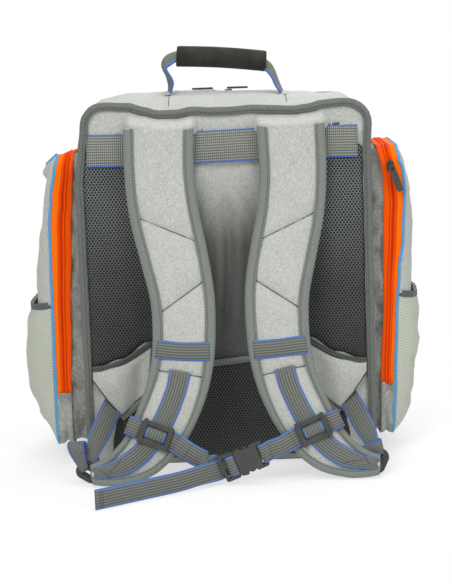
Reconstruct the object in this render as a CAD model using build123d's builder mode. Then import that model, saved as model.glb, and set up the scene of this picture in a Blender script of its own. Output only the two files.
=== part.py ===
from build123d import *
from math import cos, hypot, radians, sin
import os

# Tackle backpack, in millimetres. +Z is up and the floor is Z = 0. -Y is the wearer's side, +Y the front.
# The origin is under the middle of the main compartment.

# ---- Main compartment ----
BODY_WIDTH = 344.0
BODY_HEIGHT = 434.0
BACK_Y = -120.0
FRONT_Y = 120.0
TOP_RADIUS = 28.0
BOTTOM_RADIUS = 20.0
WALL = 5.0
BACK_WALL = 6.0
FRAME_SHEET = 1.2
TAPE = 1.6
DOOR_HINGE_Z = 60.0
TAPE_MEET_Y = 72.3
TAPE_WIDTH = 13.0
SEAM_GAP = 0.7

# ---- Front pocket on the door ----
FRONT_POCKET_WIDTH = 250.0
FRONT_POCKET_BOTTOM = 70.0
FRONT_POCKET_TOP = 300.0
FRONT_POCKET_DEPTH = 33.0
FRONT_POCKET_WALL = 3.0

# ---- Side pockets ----
POCKET_BACK_Y = -100.0
POCKET_FRONT_Y = 50.0
POCKET_BOTTOM = 22.0
POCKET_TOP = 384.0
POCKET_RADIUS = 24.0
POCKET_WALL = 3.0
POCKET_ZIP_END_Z = 85.0
POCKET_TAPE_MEET = 28.5
POCKET_RIM = 42.0
POCKET_CROWN = 65.0
MESH_CROWN = 77.0
MESH_TOP = 201.0
MESH_WALL = 2.0

# ---- Shoulder straps: X from the harness centre, Z, half width ----
STRAP_CENTRE_X = 3.0
STRAP_ROUTE = [
    (77, 409, 40),
    (78, 355, 39.5),
    (74, 310, 39.5),
    (65, 265, 38.5),
    (56, 215, 36.5),
    (55, 175, 35.5),
    (58, 140, 35),
    (67, 105, 34),
    (84, 69, 32),
    (107, 39, 27),
    (133, 23, 19),
    (152, 17.5, 13.5),
    (168, 16, 9.5),
]
STRAP_DEPTHS = [(415, 17), (360, 19.5), (310, 24), (265, 31), (215, 42), (175, 51), (110, 66), (50, 82), (2, 99)]
STRAP_THICK = 9.5
BINDING_WIDTH = 11.0
BINDING_THICK = 1.0
WEB_WIDTH = 25.0
WEB = 1.6
RAIL_ROUTE = [(61, 128), (67, 105), (84, 69), (107, 39), (133, 23), (163, 16.5)]
CROSS_WEB_Z = 152.0

# ---- Carry handle ----
HANDLE_Y = -25.0
HANDLE_CENTRE_X = 3.0
HANDLE_SPAN = 138.0
HANDLE_RISE = 50.0
HANDLE_LEAN = 5.0
GRIP_LENGTH = 110.0
GRIP_DIAMETER = 26.0
HANDLE_WEB = 3.0

# ---- Chest strap ----
BUCKLE_AT = (5.0, -220.0, 25.0)
BUCKLE_TILT = 21.0
BUCKLE_WIDTH = 33.0
FEMALE_LENGTH = 35.0
MALE_LENGTH = 19.0
BUCKLE_THICK = 10.0
PRONG_REACH = 23.0
CHEST_SLIDER_AT = (92.0, 56.5)
CHEST_SLIDER_TILT = 22.0
CHEST_SLIDER = (37.0, 28.0, 4.0)

# ---- Zip pulls ----
PULL_LEAN = 20.0

# ---- Ladder locks at the strap ends ----
# Each lock lies its own way: its middle (x, z), and how far its outer bar is turned down from level.
LADDER_LOCKS = {"left": (-169.5, 14.2, 58.0), "right": (170.0, 15.6, 24.0)}
LADDER_LOCK_DEPTH = 74.6

HALF_WIDTH = BODY_WIDTH / 2
SIDES = {"left": -1, "right": 1}
pieces = []


def save(piece, name):
    """Label a finished piece and keep it for export."""
    piece.part.label = name
    pieces.append(piece.part)


def upright(y):
    """The plane across the bag at this Y: its own axes are X and Z."""
    return Plane.XZ.offset(-y)


def body_face(inset):
    """The bag seen from behind, a rectangle with rounder corners at the top than at the base."""
    with BuildSketch() as outline:
        with Locations((0, BODY_HEIGHT / 2)):
            Rectangle(BODY_WIDTH - 2 * inset, BODY_HEIGHT - 2 * inset)
        corners = outline.vertices().group_by(Axis.Y)
        fillet(corners[-1], TOP_RADIUS - inset)
        fillet(outline.vertices().group_by(Axis.Y)[0], BOTTOM_RADIUS - inset)
    return outline.sketch


def body_plate(y_from, y_to, inset=0.0):
    """A plate of the bag's outline between two places along Y."""
    with BuildSketch(upright(y_from)) as plate:
        add(body_face(inset))
    extrude(plate.sketch, amount=-(y_to - y_from))


def body_band(y_from, y_to, outer, inner):
    """A band that runs all round the bag between two insets of its outline."""
    with BuildSketch(upright(y_from)) as band:
        add(body_face(outer))
        add(body_face(inner), mode=Mode.SUBTRACT)
    extrude(band.sketch, amount=-(y_to - y_from))


def block(low, high, mode=Mode.ADD):
    """A box between two opposite corners."""
    low, high = zip(*[sorted(pair) for pair in zip(low, high)])
    with Locations(tuple((a + b) / 2 for a, b in zip(low, high))):
        Box(*[b - a for a, b in zip(low, high)], mode=mode)


# ------------------------------------------------------------------ main shell
INSIDE_BACK = BACK_Y + BACK_WALL
INSIDE_FRONT = FRONT_Y - WALL
REACH = HALF_WIDTH + 20
SHELL_END = TAPE_MEET_Y - SEAM_GAP
ABOVE = BODY_HEIGHT + 5

with BuildPart() as back_panel:
    body_plate(BACK_Y, INSIDE_BACK)
save(back_panel, "back_panel")

with BuildPart() as top_panel:
    body_band(INSIDE_BACK, SHELL_END, 0, WALL)
    block((-REACH, BACK_Y, BODY_HEIGHT - TOP_RADIUS), (REACH, FRONT_Y, ABOVE), Mode.INTERSECT)
save(top_panel, "top_panel")

with BuildPart() as side_panels:
    body_band(INSIDE_BACK, SHELL_END, 0, WALL)
    block((-REACH, BACK_Y, BOTTOM_RADIUS), (REACH, FRONT_Y, BODY_HEIGHT - TOP_RADIUS), Mode.INTERSECT)
save(side_panels, "side_panels")

with BuildPart() as base_panel:
    body_band(INSIDE_BACK, INSIDE_FRONT, 0, WALL)
    block((-REACH, BACK_Y, 0), (REACH, FRONT_Y, BOTTOM_RADIUS), Mode.INTERSECT)
save(base_panel, "base_panel")

# The lower front stays put below the zip's two ends, and the door folds down over it.
with BuildPart() as kick_panel:
    body_band(SHELL_END, INSIDE_FRONT, 0, WALL)
    block((-REACH, BACK_Y, BOTTOM_RADIUS), (REACH, FRONT_Y, DOOR_HINGE_Z - 1), Mode.INTERSECT)
    body_plate(INSIDE_FRONT, FRONT_Y)
    block((-REACH, BACK_Y, 0), (REACH, FRONT_Y, DOOR_HINGE_Z - 1), Mode.INTERSECT)
save(kick_panel, "kick_panel")

with BuildPart() as back_frame_sheet:
    body_plate(INSIDE_BACK, INSIDE_BACK + FRAME_SHEET, WALL + 5)
save(back_frame_sheet, "back_frame_sheet")

with BuildPart() as base_board:
    with BuildSketch(Plane.XY.offset(WALL)):
        RectangleRounded(300, 216, 12)
    extrude(amount=3)
save(base_board, "base_board")

with BuildPart() as back_piping:
    body_band(BACK_Y - 2.5, BACK_Y, -2, 6)
    body_band(BACK_Y, BACK_Y + 5, -2, 0)
    block((-REACH, BACK_Y - 5, 0.2), (REACH, 0, ABOVE), Mode.INTERSECT)
save(back_piping, "back_piping")

# ------------------------------------------------------------------ main zip and front door
tape_runs = {
    "main_zip_inner_tape": (TAPE_MEET_Y - TAPE_WIDTH, TAPE_MEET_Y - 0.3),
    "main_zip_outer_tape": (TAPE_MEET_Y + 0.3, TAPE_MEET_Y + TAPE_WIDTH),
}
for tape_name, (tape_from, tape_to) in tape_runs.items():
    with BuildPart() as tape:
        body_band(tape_from, tape_to, -TAPE, 0)
        block((-REACH, BACK_Y, DOOR_HINGE_Z), (REACH, FRONT_Y, ABOVE), Mode.INTERSECT)
    save(tape, tape_name)

with BuildPart() as front_gusset:
    body_band(TAPE_MEET_Y + SEAM_GAP, INSIDE_FRONT, 0, WALL)
    block((-REACH, BACK_Y, DOOR_HINGE_Z), (REACH, FRONT_Y, ABOVE), Mode.INTERSECT)
save(front_gusset, "front_gusset")

with BuildPart() as front_panel:
    body_plate(INSIDE_FRONT, FRONT_Y)
    block((-REACH, BACK_Y, DOOR_HINGE_Z), (REACH, FRONT_Y + 1, ABOVE), Mode.INTERSECT)
save(front_panel, "front_panel")

with BuildPart() as front_piping:
    body_band(FRONT_Y - 3, FRONT_Y, -2.2, 0)
    body_band(FRONT_Y, FRONT_Y + 1.5, -2.2, 3)
    block((-REACH, BACK_Y, DOOR_HINGE_Z + 5), (REACH, FRONT_Y + 5, ABOVE), Mode.INTERSECT)
save(front_piping, "front_piping")


def front_pocket_block(inset, mode=Mode.ADD):
    """The front pocket's rounded block, a little smaller at its face than at the door."""
    height = FRONT_POCKET_TOP - FRONT_POCKET_BOTTOM
    middle = (FRONT_POCKET_TOP + FRONT_POCKET_BOTTOM) / 2
    sections = []
    for depth, shrink in ((0, 0), (FRONT_POCKET_DEPTH - inset, 8)):
        with BuildSketch(upright(FRONT_Y + depth)) as section_face:
            with Locations((0, middle)):
                trim = 2 * (inset + shrink)
                RectangleRounded(FRONT_POCKET_WIDTH - trim, height - trim, 26 - inset)
        sections.append(section_face.sketch)
    loft(sections, mode=mode)


MOUTH_HALF = FRONT_POCKET_WIDTH / 2 - 34
with BuildPart() as front_pocket:
    front_pocket_block(0)
    front_pocket_block(FRONT_POCKET_WALL, Mode.SUBTRACT)
    block(
        (-MOUTH_HALF, FRONT_Y + 7, FRONT_POCKET_TOP - 16), (MOUTH_HALF, FRONT_Y + 23, FRONT_POCKET_TOP + 5),
        Mode.SUBTRACT,
    )
save(front_pocket, "front_pocket")

# Two tapes over the pocket's mouth, following its gently falling top.
top_slope = 8 / FRONT_POCKET_DEPTH
mouth_plane = Plane(
    origin=(0, FRONT_Y + 15, FRONT_POCKET_TOP - 15 * top_slope), x_dir=(1, 0, 0), z_dir=(0, top_slope, 1)
)
with BuildPart() as front_pocket_zip:
    with BuildSketch(mouth_plane):
        for across in (-1, 1):
            with Locations((0, across * 6.3)):
                Rectangle(2 * MOUTH_HALF + 10, 12)
    extrude(amount=TAPE)
save(front_pocket_zip, "front_pocket_zip")

# ------------------------------------------------------------------ back panel padding and webbing
PAD_FACE = 4.0


def half_outline(points, side=1):
    """Mirror an outline's X to the chosen side."""
    return [(side * x, z) for x, z in points]


with BuildPart() as air_pads:
    with BuildSketch(upright(BACK_Y)):
        for side in SIDES.values():
            with BuildLine():
                Polyline(*half_outline([(165, 124), (165, 378), (155, 390), (40, 390), (38, 157)], side))
                Spline(*half_outline([(38, 157), (98, 153), (130, 133), (165, 124)], side))
            make_face()
    extrude(amount=PAD_FACE)
    chamfer(air_pads.faces().group_by(Axis.Y)[0].edges(), 2.4)
save(air_pads, "air_pads")

with BuildPart() as lumbar_pad:
    right_edge = [(99, 116), (99, 88), (128, 64), (137, 10)]
    with BuildSketch(upright(BACK_Y)):
        with BuildLine():
            Polyline(*right_edge, *half_outline(reversed(right_edge), -1), close=True)
        make_face()
    extrude(amount=PAD_FACE)
    chamfer(lumbar_pad.faces().sort_by(Axis.Y)[0].edges(), 2.4)
save(lumbar_pad, "lumbar_pad")

with BuildPart() as lumbar_band:
    right_edge = [(36, 130), (96, 149), (130, 129), (164, 120), (164, 101), (130, 67), (101, 91), (101, 118)]
    with BuildSketch(upright(BACK_Y)):
        with BuildLine():
            Polyline(*right_edge, *half_outline(reversed(right_edge), -1), close=True)
        make_face()
    extrude(amount=2.5)
save(lumbar_band, "lumbar_band")

with BuildPart() as yoke_webbing:
    with BuildSketch(upright(BACK_Y - PAD_FACE)):
        with Locations((0, 385.5)):
            Rectangle(320, 38)
    extrude(amount=WEB)
save(yoke_webbing, "yoke_webbing")


# ------------------------------------------------------------------ side pockets
def pocket_face(inset):
    """The side pocket seen from the side, in Y and Z."""
    width = POCKET_FRONT_Y - POCKET_BACK_Y
    height = POCKET_TOP - POCKET_BOTTOM
    with BuildSketch() as outline:
        with Locations(((POCKET_FRONT_Y + POCKET_BACK_Y) / 2, (POCKET_TOP + POCKET_BOTTOM) / 2)):
            RectangleRounded(width - 2 * inset, height - 2 * inset, max(POCKET_RADIUS - inset, 6))
    return outline.sketch


def pocket_section(side, out, inset):
    """The pocket's outline, this far out from the bag's side."""
    with BuildSketch(Plane.YZ.offset(side * (HALF_WIDTH + out))) as section_face:
        add(pocket_face(inset))
    return section_face.sketch


def pocket_ring(side, out_from, out_to, outer, inner):
    """A ring round the pocket between two distances out from the bag."""
    with BuildSketch(Plane.YZ.offset(side * (HALF_WIDTH + out_from))) as ring:
        add(pocket_face(outer))
        add(pocket_face(inner), mode=Mode.SUBTRACT)
    extrude(ring.sketch, amount=side * (out_to - out_from))


def pocket_crown(side, steps, shrink, mode=Mode.ADD):
    """A domed cover from stacked outlines, each an inset and a distance out."""
    sections = [pocket_section(side, out - shrink, inset + shrink) for out, inset in steps]
    loft(sections, ruled=True, mode=mode)


PANEL_STEPS = [(POCKET_TAPE_MEET + 1, 0), (POCKET_RIM, 0), (POCKET_CROWN - 9, 12), (POCKET_CROWN, 42)]


def mesh_section(side, out, inset, top):
    """The mesh pocket's outline, this far out from the bag's side."""
    width = POCKET_FRONT_Y - POCKET_BACK_Y - 6
    height = top - POCKET_BOTTOM - 2
    with BuildSketch(Plane.YZ.offset(side * (HALF_WIDTH + out))) as section_face:
        with Locations(((POCKET_FRONT_Y + POCKET_BACK_Y) / 2, POCKET_BOTTOM + 2 + height / 2)):
            RectangleRounded(width - 2 * inset, height - 2 * inset, max(POCKET_RADIUS - inset, 8))
    return section_face.sketch


with BuildPart() as pocket_inner_tapes:
    for side in SIDES.values():
        pocket_ring(side, POCKET_TAPE_MEET - 12.5, POCKET_TAPE_MEET - 0.4, -TAPE, 0)
    block((-300, -200, POCKET_ZIP_END_Z + 1), (300, 200, 400), Mode.INTERSECT)
save(pocket_inner_tapes, "pocket_inner_tapes")

MESH_STEPS = [(POCKET_RIM + 1, 0), (MESH_CROWN - 14, 7), (MESH_CROWN, 32)]
MESH_BLANK_TOP = MESH_TOP + 70

for side_name, side in SIDES.items():
    with BuildPart() as pocket_gusset:
        pocket_ring(side, 0, POCKET_TAPE_MEET - 1, 0, POCKET_WALL)
        block(
            (side * HALF_WIDTH, POCKET_BACK_Y - 5, POCKET_ZIP_END_Z), (side * (HALF_WIDTH + 90), 60, 400),
            Mode.INTERSECT,
        )
        with BuildSketch(Plane.YZ.offset(side * HALF_WIDTH)) as low_ring:
            add(pocket_face(0))
            add(pocket_face(POCKET_WALL), mode=Mode.SUBTRACT)
            with Locations((0, POCKET_ZIP_END_Z / 2)):
                Rectangle(400, POCKET_ZIP_END_Z, mode=Mode.INTERSECT)
        extrude(amount=side * (POCKET_RIM - 4))
    save(pocket_gusset, f"{side_name}_pocket_gusset")

    with BuildPart() as pocket_outer_tape:
        pocket_ring(side, POCKET_TAPE_MEET + 0.4, POCKET_TAPE_MEET + 12.5, -TAPE, 0)
        block((side * HALF_WIDTH, -200, POCKET_ZIP_END_Z + 1), (side * (HALF_WIDTH + 90), 200, 400), Mode.INTERSECT)
    save(pocket_outer_tape, f"{side_name}_pocket_outer_tape")

    with BuildPart() as pocket_panel:
        pocket_crown(side, PANEL_STEPS, 0)
        inner_steps = [(POCKET_TAPE_MEET - 5, 0), *PANEL_STEPS[1:]]
        pocket_crown(side, inner_steps, POCKET_WALL, Mode.SUBTRACT)
        block(
            (side * HALF_WIDTH, -200, 0), (side * (HALF_WIDTH + POCKET_RIM - 1), 200, POCKET_ZIP_END_Z + 1),
            Mode.SUBTRACT,
        )
    save(pocket_panel, f"{side_name}_pocket_panel")

    with BuildPart() as pocket_piping:
        pocket_ring(side, POCKET_RIM - 1, POCKET_RIM + 3, -2.2, 0)
        block((side * HALF_WIDTH, -200, POCKET_BOTTOM + 2), (side * (HALF_WIDTH + 90), 200, 400), Mode.INTERSECT)
    save(pocket_piping, f"{side_name}_pocket_piping")

    with BuildPart() as mesh_pocket:
        loft([mesh_section(side, out, inset, MESH_BLANK_TOP) for out, inset in MESH_STEPS], ruled=True)
        loft(
            [mesh_section(side, out - MESH_WALL, inset + MESH_WALL, MESH_BLANK_TOP) for out, inset in MESH_STEPS],
            ruled=True, mode=Mode.SUBTRACT,
        )
        pocket_crown(side, PANEL_STEPS, 0, Mode.SUBTRACT)
        block((side * HALF_WIDTH, -200, 0), (side * (HALF_WIDTH + 100), 200, MESH_TOP), Mode.INTERSECT)
        block((side * HALF_WIDTH, -200, 0), (side * (HALF_WIDTH + POCKET_RIM + 1.5), 200, MESH_TOP), Mode.SUBTRACT)
    save(mesh_pocket, f"{side_name}_mesh_pocket")

# ------------------------------------------------------------------ carry handle
HANDLE_Z = BODY_HEIGHT + HANDLE_RISE
HANDLE_FOOT_Z = BODY_HEIGHT + 3.0
CORE_WIDTH = 15.0

with BuildPart() as handle_anchors:
    for end in (-1, 1):
        foot_x = HANDLE_CENTRE_X + end * HANDLE_SPAN / 2
        block((foot_x - 5, HANDLE_Y - 14, BODY_HEIGHT), (foot_x + 20, HANDLE_Y + 14, BODY_HEIGHT + 2))
save(handle_anchors, "handle_anchors")

with BuildPart() as handle_webbing:
    with BuildSketch(upright(HANDLE_Y)):
        for end in (-1, 1):
            foot_x = HANDLE_CENTRE_X + end * HANDLE_SPAN / 2
            lean = -end * HANDLE_LEAN
            shoulder_z = HANDLE_Z + lean
            with BuildLine():
                FilletPolyline(
                    (foot_x, HANDLE_FOOT_Z),
                    (foot_x + end * 3, shoulder_z - 14),
                    (foot_x - end * 2, shoulder_z),
                    (foot_x - end * 13, shoulder_z + 1),
                    radius=4,
                )
            trace(line_width=HANDLE_WEB)
    extrude(amount=WEB_WIDTH / 2, both=True)
    with BuildSketch(upright(HANDLE_Y)):
        with BuildLine():
            grip_end = HANDLE_SPAN / 2 - 12
            Line(
                (HANDLE_CENTRE_X - grip_end, HANDLE_Z + HANDLE_LEAN + 1),
                (HANDLE_CENTRE_X + grip_end, HANDLE_Z - HANDLE_LEAN + 1),
            )
        trace(line_width=HANDLE_WEB)
    extrude(amount=CORE_WIDTH / 2, both=True)
    # Each leg ends in a half round about the line it folds over along.
    with BuildSketch(Plane.YZ) as fold_end:
        with Locations((HANDLE_Y, HANDLE_FOOT_Z + WEB_WIDTH / 2)):
            Circle(WEB_WIDTH / 2)
        with Locations((HANDLE_Y, HANDLE_FOOT_Z + WEB_WIDTH / 2 + 50)):
            Rectangle(WEB_WIDTH, 100)
    extrude(amount=200, both=True, mode=Mode.INTERSECT)
save(handle_webbing, "handle_webbing")

core_left = Vector(HANDLE_CENTRE_X - grip_end, HANDLE_Y, HANDLE_Z + HANDLE_LEAN + 1)
core_right = Vector(HANDLE_CENTRE_X + grip_end, HANDLE_Y, HANDLE_Z - HANDLE_LEAN + 1)
grip_middle = (core_left + core_right) / 2
with BuildPart() as handle_grip:
    with BuildSketch(Plane(origin=grip_middle, x_dir=(0, 1, 0), z_dir=core_right - core_left)):
        Circle(GRIP_DIAMETER / 2)
        Rectangle(CORE_WIDTH, HANDLE_WEB, mode=Mode.SUBTRACT)
    extrude(amount=GRIP_LENGTH / 2, both=True)
    rims = handle_grip.edges().filter_by(GeomType.CIRCLE).sort_by(SortBy.LENGTH)[-2:]
    fillet(rims, 4)
save(handle_grip, "handle_grip")


# ------------------------------------------------------------------ shoulder straps
def strap_edge(side, grow):
    """Points down the two edges of a strap, square to its route."""
    outer, inner = [], []
    for n, (x, z, half) in enumerate(STRAP_ROUTE):
        before = STRAP_ROUTE[max(n - 1, 0)]
        after = STRAP_ROUTE[min(n + 1, len(STRAP_ROUTE) - 1)]
        run_x, run_z = after[0] - before[0], after[1] - before[1]
        length = hypot(run_x, run_z)
        reach = half + grow
        if reach < 4:
            continue
        across_x, across_z = -run_z / length * reach, run_x / length * reach
        outer.append((STRAP_CENTRE_X + side * (x + across_x), z + across_z))
        inner.append((STRAP_CENTRE_X + side * (x - across_x), z - across_z))
    return outer, inner


def strap_outline(side, grow, mode=Mode.ADD):
    """The strap's outline from the front, run right through along Y."""
    outer, inner = strap_edge(side, grow)
    with BuildSketch(Plane.XZ) as outline:
        with BuildLine():
            Spline(*outer)
            Line(outer[-1], inner[-1])
            Spline(*reversed(inner))
            Line(inner[0], outer[0])
        make_face()
    extrude(outline.sketch, amount=400, both=True, mode=mode)


def strap_layer(proud, deep, mode=Mode.ADD):
    """A layer that follows the strap's fall, from proud of its face to a depth below it."""
    face_side = [(BACK_Y - depth - proud, z) for z, depth in STRAP_DEPTHS]
    under_side = [(BACK_Y - depth + deep, z) for z, depth in STRAP_DEPTHS]
    with BuildSketch(Plane.YZ) as layer:
        with BuildLine():
            Spline(*face_side)
            Line(face_side[-1], under_side[-1])
            Spline(*reversed(under_side))
            Line(under_side[0], face_side[0])
        make_face()
    extrude(layer.sketch, amount=250, both=True, mode=mode)


def depth_at(height):
    """How far the strap's face stands off the back panel at this height, and its slope there."""
    for (z_high, far_high), (z_low, far_low) in zip(STRAP_DEPTHS, STRAP_DEPTHS[1:]):
        if z_low <= height <= z_high:
            slope = (far_low - far_high) / (z_low - z_high)
            return far_low + slope * (height - z_low), slope
    return STRAP_DEPTHS[-1][1], 0.0


slider_depth, slider_slope = depth_at(CHEST_SLIDER_AT[1])
SLIDER_STANDOFF = BINDING_THICK + WEB + 1.2


def chest_slider_plane(side):
    """Lies on the strap's face, with X pointing outwards along the chest webbing."""
    tilt = radians(CHEST_SLIDER_TILT)
    normal = Vector(0, -1, -slider_slope).normalized()
    along = Vector(side * cos(tilt), -slider_slope * sin(tilt), sin(tilt))
    at = Vector(STRAP_CENTRE_X + side * CHEST_SLIDER_AT[0], BACK_Y - slider_depth, CHEST_SLIDER_AT[1])
    return Plane(origin=at + normal * SLIDER_STANDOFF, x_dir=along, z_dir=normal)


tilt = radians(BUCKLE_TILT)
buckle_plane = Plane(origin=BUCKLE_AT, x_dir=(cos(tilt), 0, sin(tilt)), z_dir=(0, -1, 0))


def strip_between(start, end, width, thick):
    """A flat strip of webbing between two points, its face turned to the wearer."""
    run = end - start
    face = Vector(0, -1, 0)
    face = (face - run * (face.dot(run) / run.dot(run))).normalized()
    with BuildSketch(Plane(origin=(start + end) / 2, x_dir=run, z_dir=face)) as strip:
        Rectangle(run.length, width)
    extrude(strip.sketch, amount=thick / 2, both=True)


for side_name, side in SIDES.items():
    with BuildPart() as strap_pad:
        strap_layer(0, STRAP_THICK)
        strap_outline(side, 0, mode=Mode.INTERSECT)
    save(strap_pad, f"{side_name}_strap_pad")

    with BuildPart() as strap_binding:
        strap_layer(BINDING_THICK, STRAP_THICK + BINDING_THICK)
        strap_outline(side, BINDING_THICK, mode=Mode.INTERSECT)
        strap_outline(side, -BINDING_WIDTH, mode=Mode.SUBTRACT)
        add(strap_pad.part, mode=Mode.SUBTRACT)
    save(strap_binding, f"{side_name}_strap_binding")

    with BuildPart() as strap_webbing:
        strap_layer(BINDING_THICK + WEB, 0)
        with BuildSketch(Plane.XZ) as web_runs:
            with BuildLine():
                Spline(*[(STRAP_CENTRE_X + side * x, z) for x, z in RAIL_ROUTE])
            trace(line_width=WEB_WIDTH)
            with Locations((STRAP_CENTRE_X + side * 57, CROSS_WEB_Z)):
                Rectangle(69, WEB_WIDTH - 2)
        extrude(web_runs.sketch, amount=400, both=True, mode=Mode.INTERSECT)
        add(strap_binding.part, mode=Mode.SUBTRACT)
    save(strap_webbing, f"{side_name}_strap_webbing")

    slider_plane = chest_slider_plane(side)
    slider_length, slider_width, slider_thick = CHEST_SLIDER
    with BuildPart() as chest_slider:
        with BuildSketch(slider_plane):
            RectangleRounded(slider_length, slider_width, 4)
            # The strap's own webbing goes in one slot, over the bar between them and out of the other.
            with GridLocations(1, 12.4, 1, 2):
                RectangleRounded(WEB_WIDTH + 1.5, 5.4, 1, mode=Mode.SUBTRACT)
        extrude(amount=slider_thick)
        # A knob at each corner, where the slider grips the edges of the webbing it runs on.
        with BuildSketch(slider_plane.offset(-0.4)):
            with GridLocations(slider_length - 5, slider_width - 3, 2, 2):
                Circle(2.8)
        extrude(amount=slider_thick + 1.4)
    save(chest_slider, f"{side_name}_chest_slider")

    lock_x, lock_z, turn = LADDER_LOCKS[side_name]
    lock_plane = Plane(origin=(lock_x, BACK_Y - LADDER_LOCK_DEPTH, lock_z),
                       x_dir=(side * cos(radians(turn)), 0, -sin(radians(turn))), z_dir=(0, -1, 0))
    with BuildPart() as ladder_lock:
        with BuildSketch(lock_plane):
            RectangleRounded(23, 30, 9.5)
            with Locations((-6.5, 0), (0.8, 0)):
                RectangleRounded(4.2, WEB_WIDTH - 3, 1, mode=Mode.SUBTRACT)
        extrude(amount=2.2, both=True)
        # The lifting lip stands a little proud along the outer bar.
        with BuildSketch(lock_plane.offset(2.2)):
            with Locations((7.5, 0)):
                RectangleRounded(4.5, 16, 2)
        extrude(amount=1.4)
    save(ladder_lock, f"{side_name}_ladder_lock")

# Webbing from the lower wings to the ladder locks.
with BuildPart() as lower_webbings:
    for side in SIDES.values():
        hem = Vector(side * 146, BACK_Y - 4, 82)
        lock_end = Vector(STRAP_CENTRE_X + side * 171, BACK_Y - 78, 38)
        strip_between(hem, lock_end, WEB_WIDTH, WEB)
save(lower_webbings, "lower_webbings")

# ------------------------------------------------------------------ chest strap and its buckle
female_end = buckle_plane.from_local_coords(Vector(FEMALE_LENGTH + 3, 0, 0))
male_end = buckle_plane.from_local_coords(Vector(-MALE_LENGTH - 10, 10, -3))
for side_name, side in SIDES.items():
    slider_plane = chest_slider_plane(side)
    slider_inner = slider_plane.from_local_coords(Vector(-CHEST_SLIDER[0] / 2 - 4, 0, 2))
    slider_outer = slider_plane.from_local_coords(Vector(CHEST_SLIDER[0] / 2 + 0.8, 0, 2))
    loop_end = slider_plane.from_local_coords(Vector(CHEST_SLIDER[0] / 2 + 14, 0, 2))
    with BuildPart() as chest_webbing:
        strip_between(slider_inner, male_end if side < 0 else female_end, WEB_WIDTH - 2, WEB)
        strip_between(slider_outer, loop_end, WEB_WIDTH - 2, WEB)
    save(chest_webbing, f"{side_name}_chest_webbing")

HALF_BUCKLE = BUCKLE_WIDTH / 2
CAVITY_HALF = 13.7
CAVITY_THICK = 6.4
with BuildPart() as buckle_female:
    with BuildSketch(buckle_plane.offset(-BUCKLE_THICK / 2)):
        with BuildLine():
            Polyline((0, -HALF_BUCKLE + 1.5), (0, HALF_BUCKLE - 1.5), (6, HALF_BUCKLE), (FEMALE_LENGTH, HALF_BUCKLE - 1))
            Line((FEMALE_LENGTH, HALF_BUCKLE - 1), (FEMALE_LENGTH, -HALF_BUCKLE + 1))
            Polyline((FEMALE_LENGTH, -HALF_BUCKLE + 1), (6, -HALF_BUCKLE), (0, -HALF_BUCKLE + 1.5))
        make_face()
    extrude(amount=BUCKLE_THICK)
    fillet(buckle_female.edges().filter_by(Axis.Y).group_by(Axis.X)[-1], 3)
    with BuildSketch(buckle_plane.offset(-CAVITY_THICK / 2)):
        with Locations((12.5, 0)):
            Rectangle(26, 2 * CAVITY_HALF)
        # The two side windows that the prongs click into.
        with Locations((15, 0)):
            Rectangle(13, BUCKLE_WIDTH + 2)
    extrude(amount=CAVITY_THICK, mode=Mode.SUBTRACT)
    with BuildSketch(buckle_plane.offset(-BUCKLE_THICK)):
        with Locations((14.5, HALF_BUCKLE), (14.5, -HALF_BUCKLE)):
            RectangleRounded(11, 5.5, 1.5)
        with Locations((29.6, 0)):
            RectangleRounded(4.2, WEB_WIDTH, 1)
    extrude(amount=2 * BUCKLE_THICK, mode=Mode.SUBTRACT)
save(buckle_female, "buckle_female")

with BuildPart() as buckle_male:
    with BuildSketch(buckle_plane.offset(-3.5)):
        with Locations((-MALE_LENGTH / 2 - 0.3, 0)):
            RectangleRounded(MALE_LENGTH - 0.6, BUCKLE_WIDTH, 3)
        with Locations((-13.2, 0), (-6, 0)):
            RectangleRounded(4.4, WEB_WIDTH, 1, mode=Mode.SUBTRACT)
    extrude(amount=7)
save(buckle_male, "buckle_male")

# Two springy prongs with barbs and a stiff middle guide, entering the female half.
with BuildPart() as buckle_prongs:
    with BuildSketch(buckle_plane.offset(-2.6)):
        for up in (-1, 1):
            prong = [(-0.6, 8.6), (15, 9.4), (PRONG_REACH, 8.4), (PRONG_REACH, 11), (16, 15.8), (12, 15.8), (11, 12.8)]
            with BuildLine():
                Polyline(*[(u, up * v) for u, v in prong], (-0.6, up * 12.8), close=True)
            make_face()
        with Locations((PRONG_REACH / 2 - 2.3, 0)):
            Rectangle(PRONG_REACH - 3.4, 5)
    extrude(amount=5.2)
save(buckle_prongs, "buckle_prongs")

# The loose end of the chest webbing stands on its edge and runs forward to the floor.
with BuildPart() as chest_tail:
    tail_start = buckle_plane.from_local_coords(Vector(-MALE_LENGTH - 6.5, 0, 4))
    with BuildSketch(Plane.XY.offset(1)):
        with BuildLine():
            Spline((tail_start.X, tail_start.Y), (-60, -246), (-104, -274), (-148, -315))
        trace(line_width=WEB)
    extrude(amount=WEB_WIDTH)
save(chest_tail, "chest_tail")


# ------------------------------------------------------------------ zip sliders and pulls
def zip_slider(plane):
    """A slider body with the bridge that its pull hangs from; X is the way the zip runs."""
    with BuildPart() as slider:
        with BuildSketch(plane.offset(0.3)):
            with BuildLine():
                Polyline((-6, -2.6), (-6, 2.6), (2, 5), (6, 4), (6, -4), (2, -5), close=True)
            make_face()
        extrude(amount=2.6)
        with BuildSketch(plane):
            with Locations((-3, 0), (4.6, 0)):
                Rectangle(1.6, 2.4)
        extrude(amount=6.6)
        with BuildSketch(plane.offset(5.2)):
            with Locations((0.8, 0)):
                Rectangle(9.2, 2.4)
        extrude(amount=1.6)
        with BuildSketch(plane):
            Rectangle(14, 12)
        extrude(amount=0.3, mode=Mode.SUBTRACT)
    return slider


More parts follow.
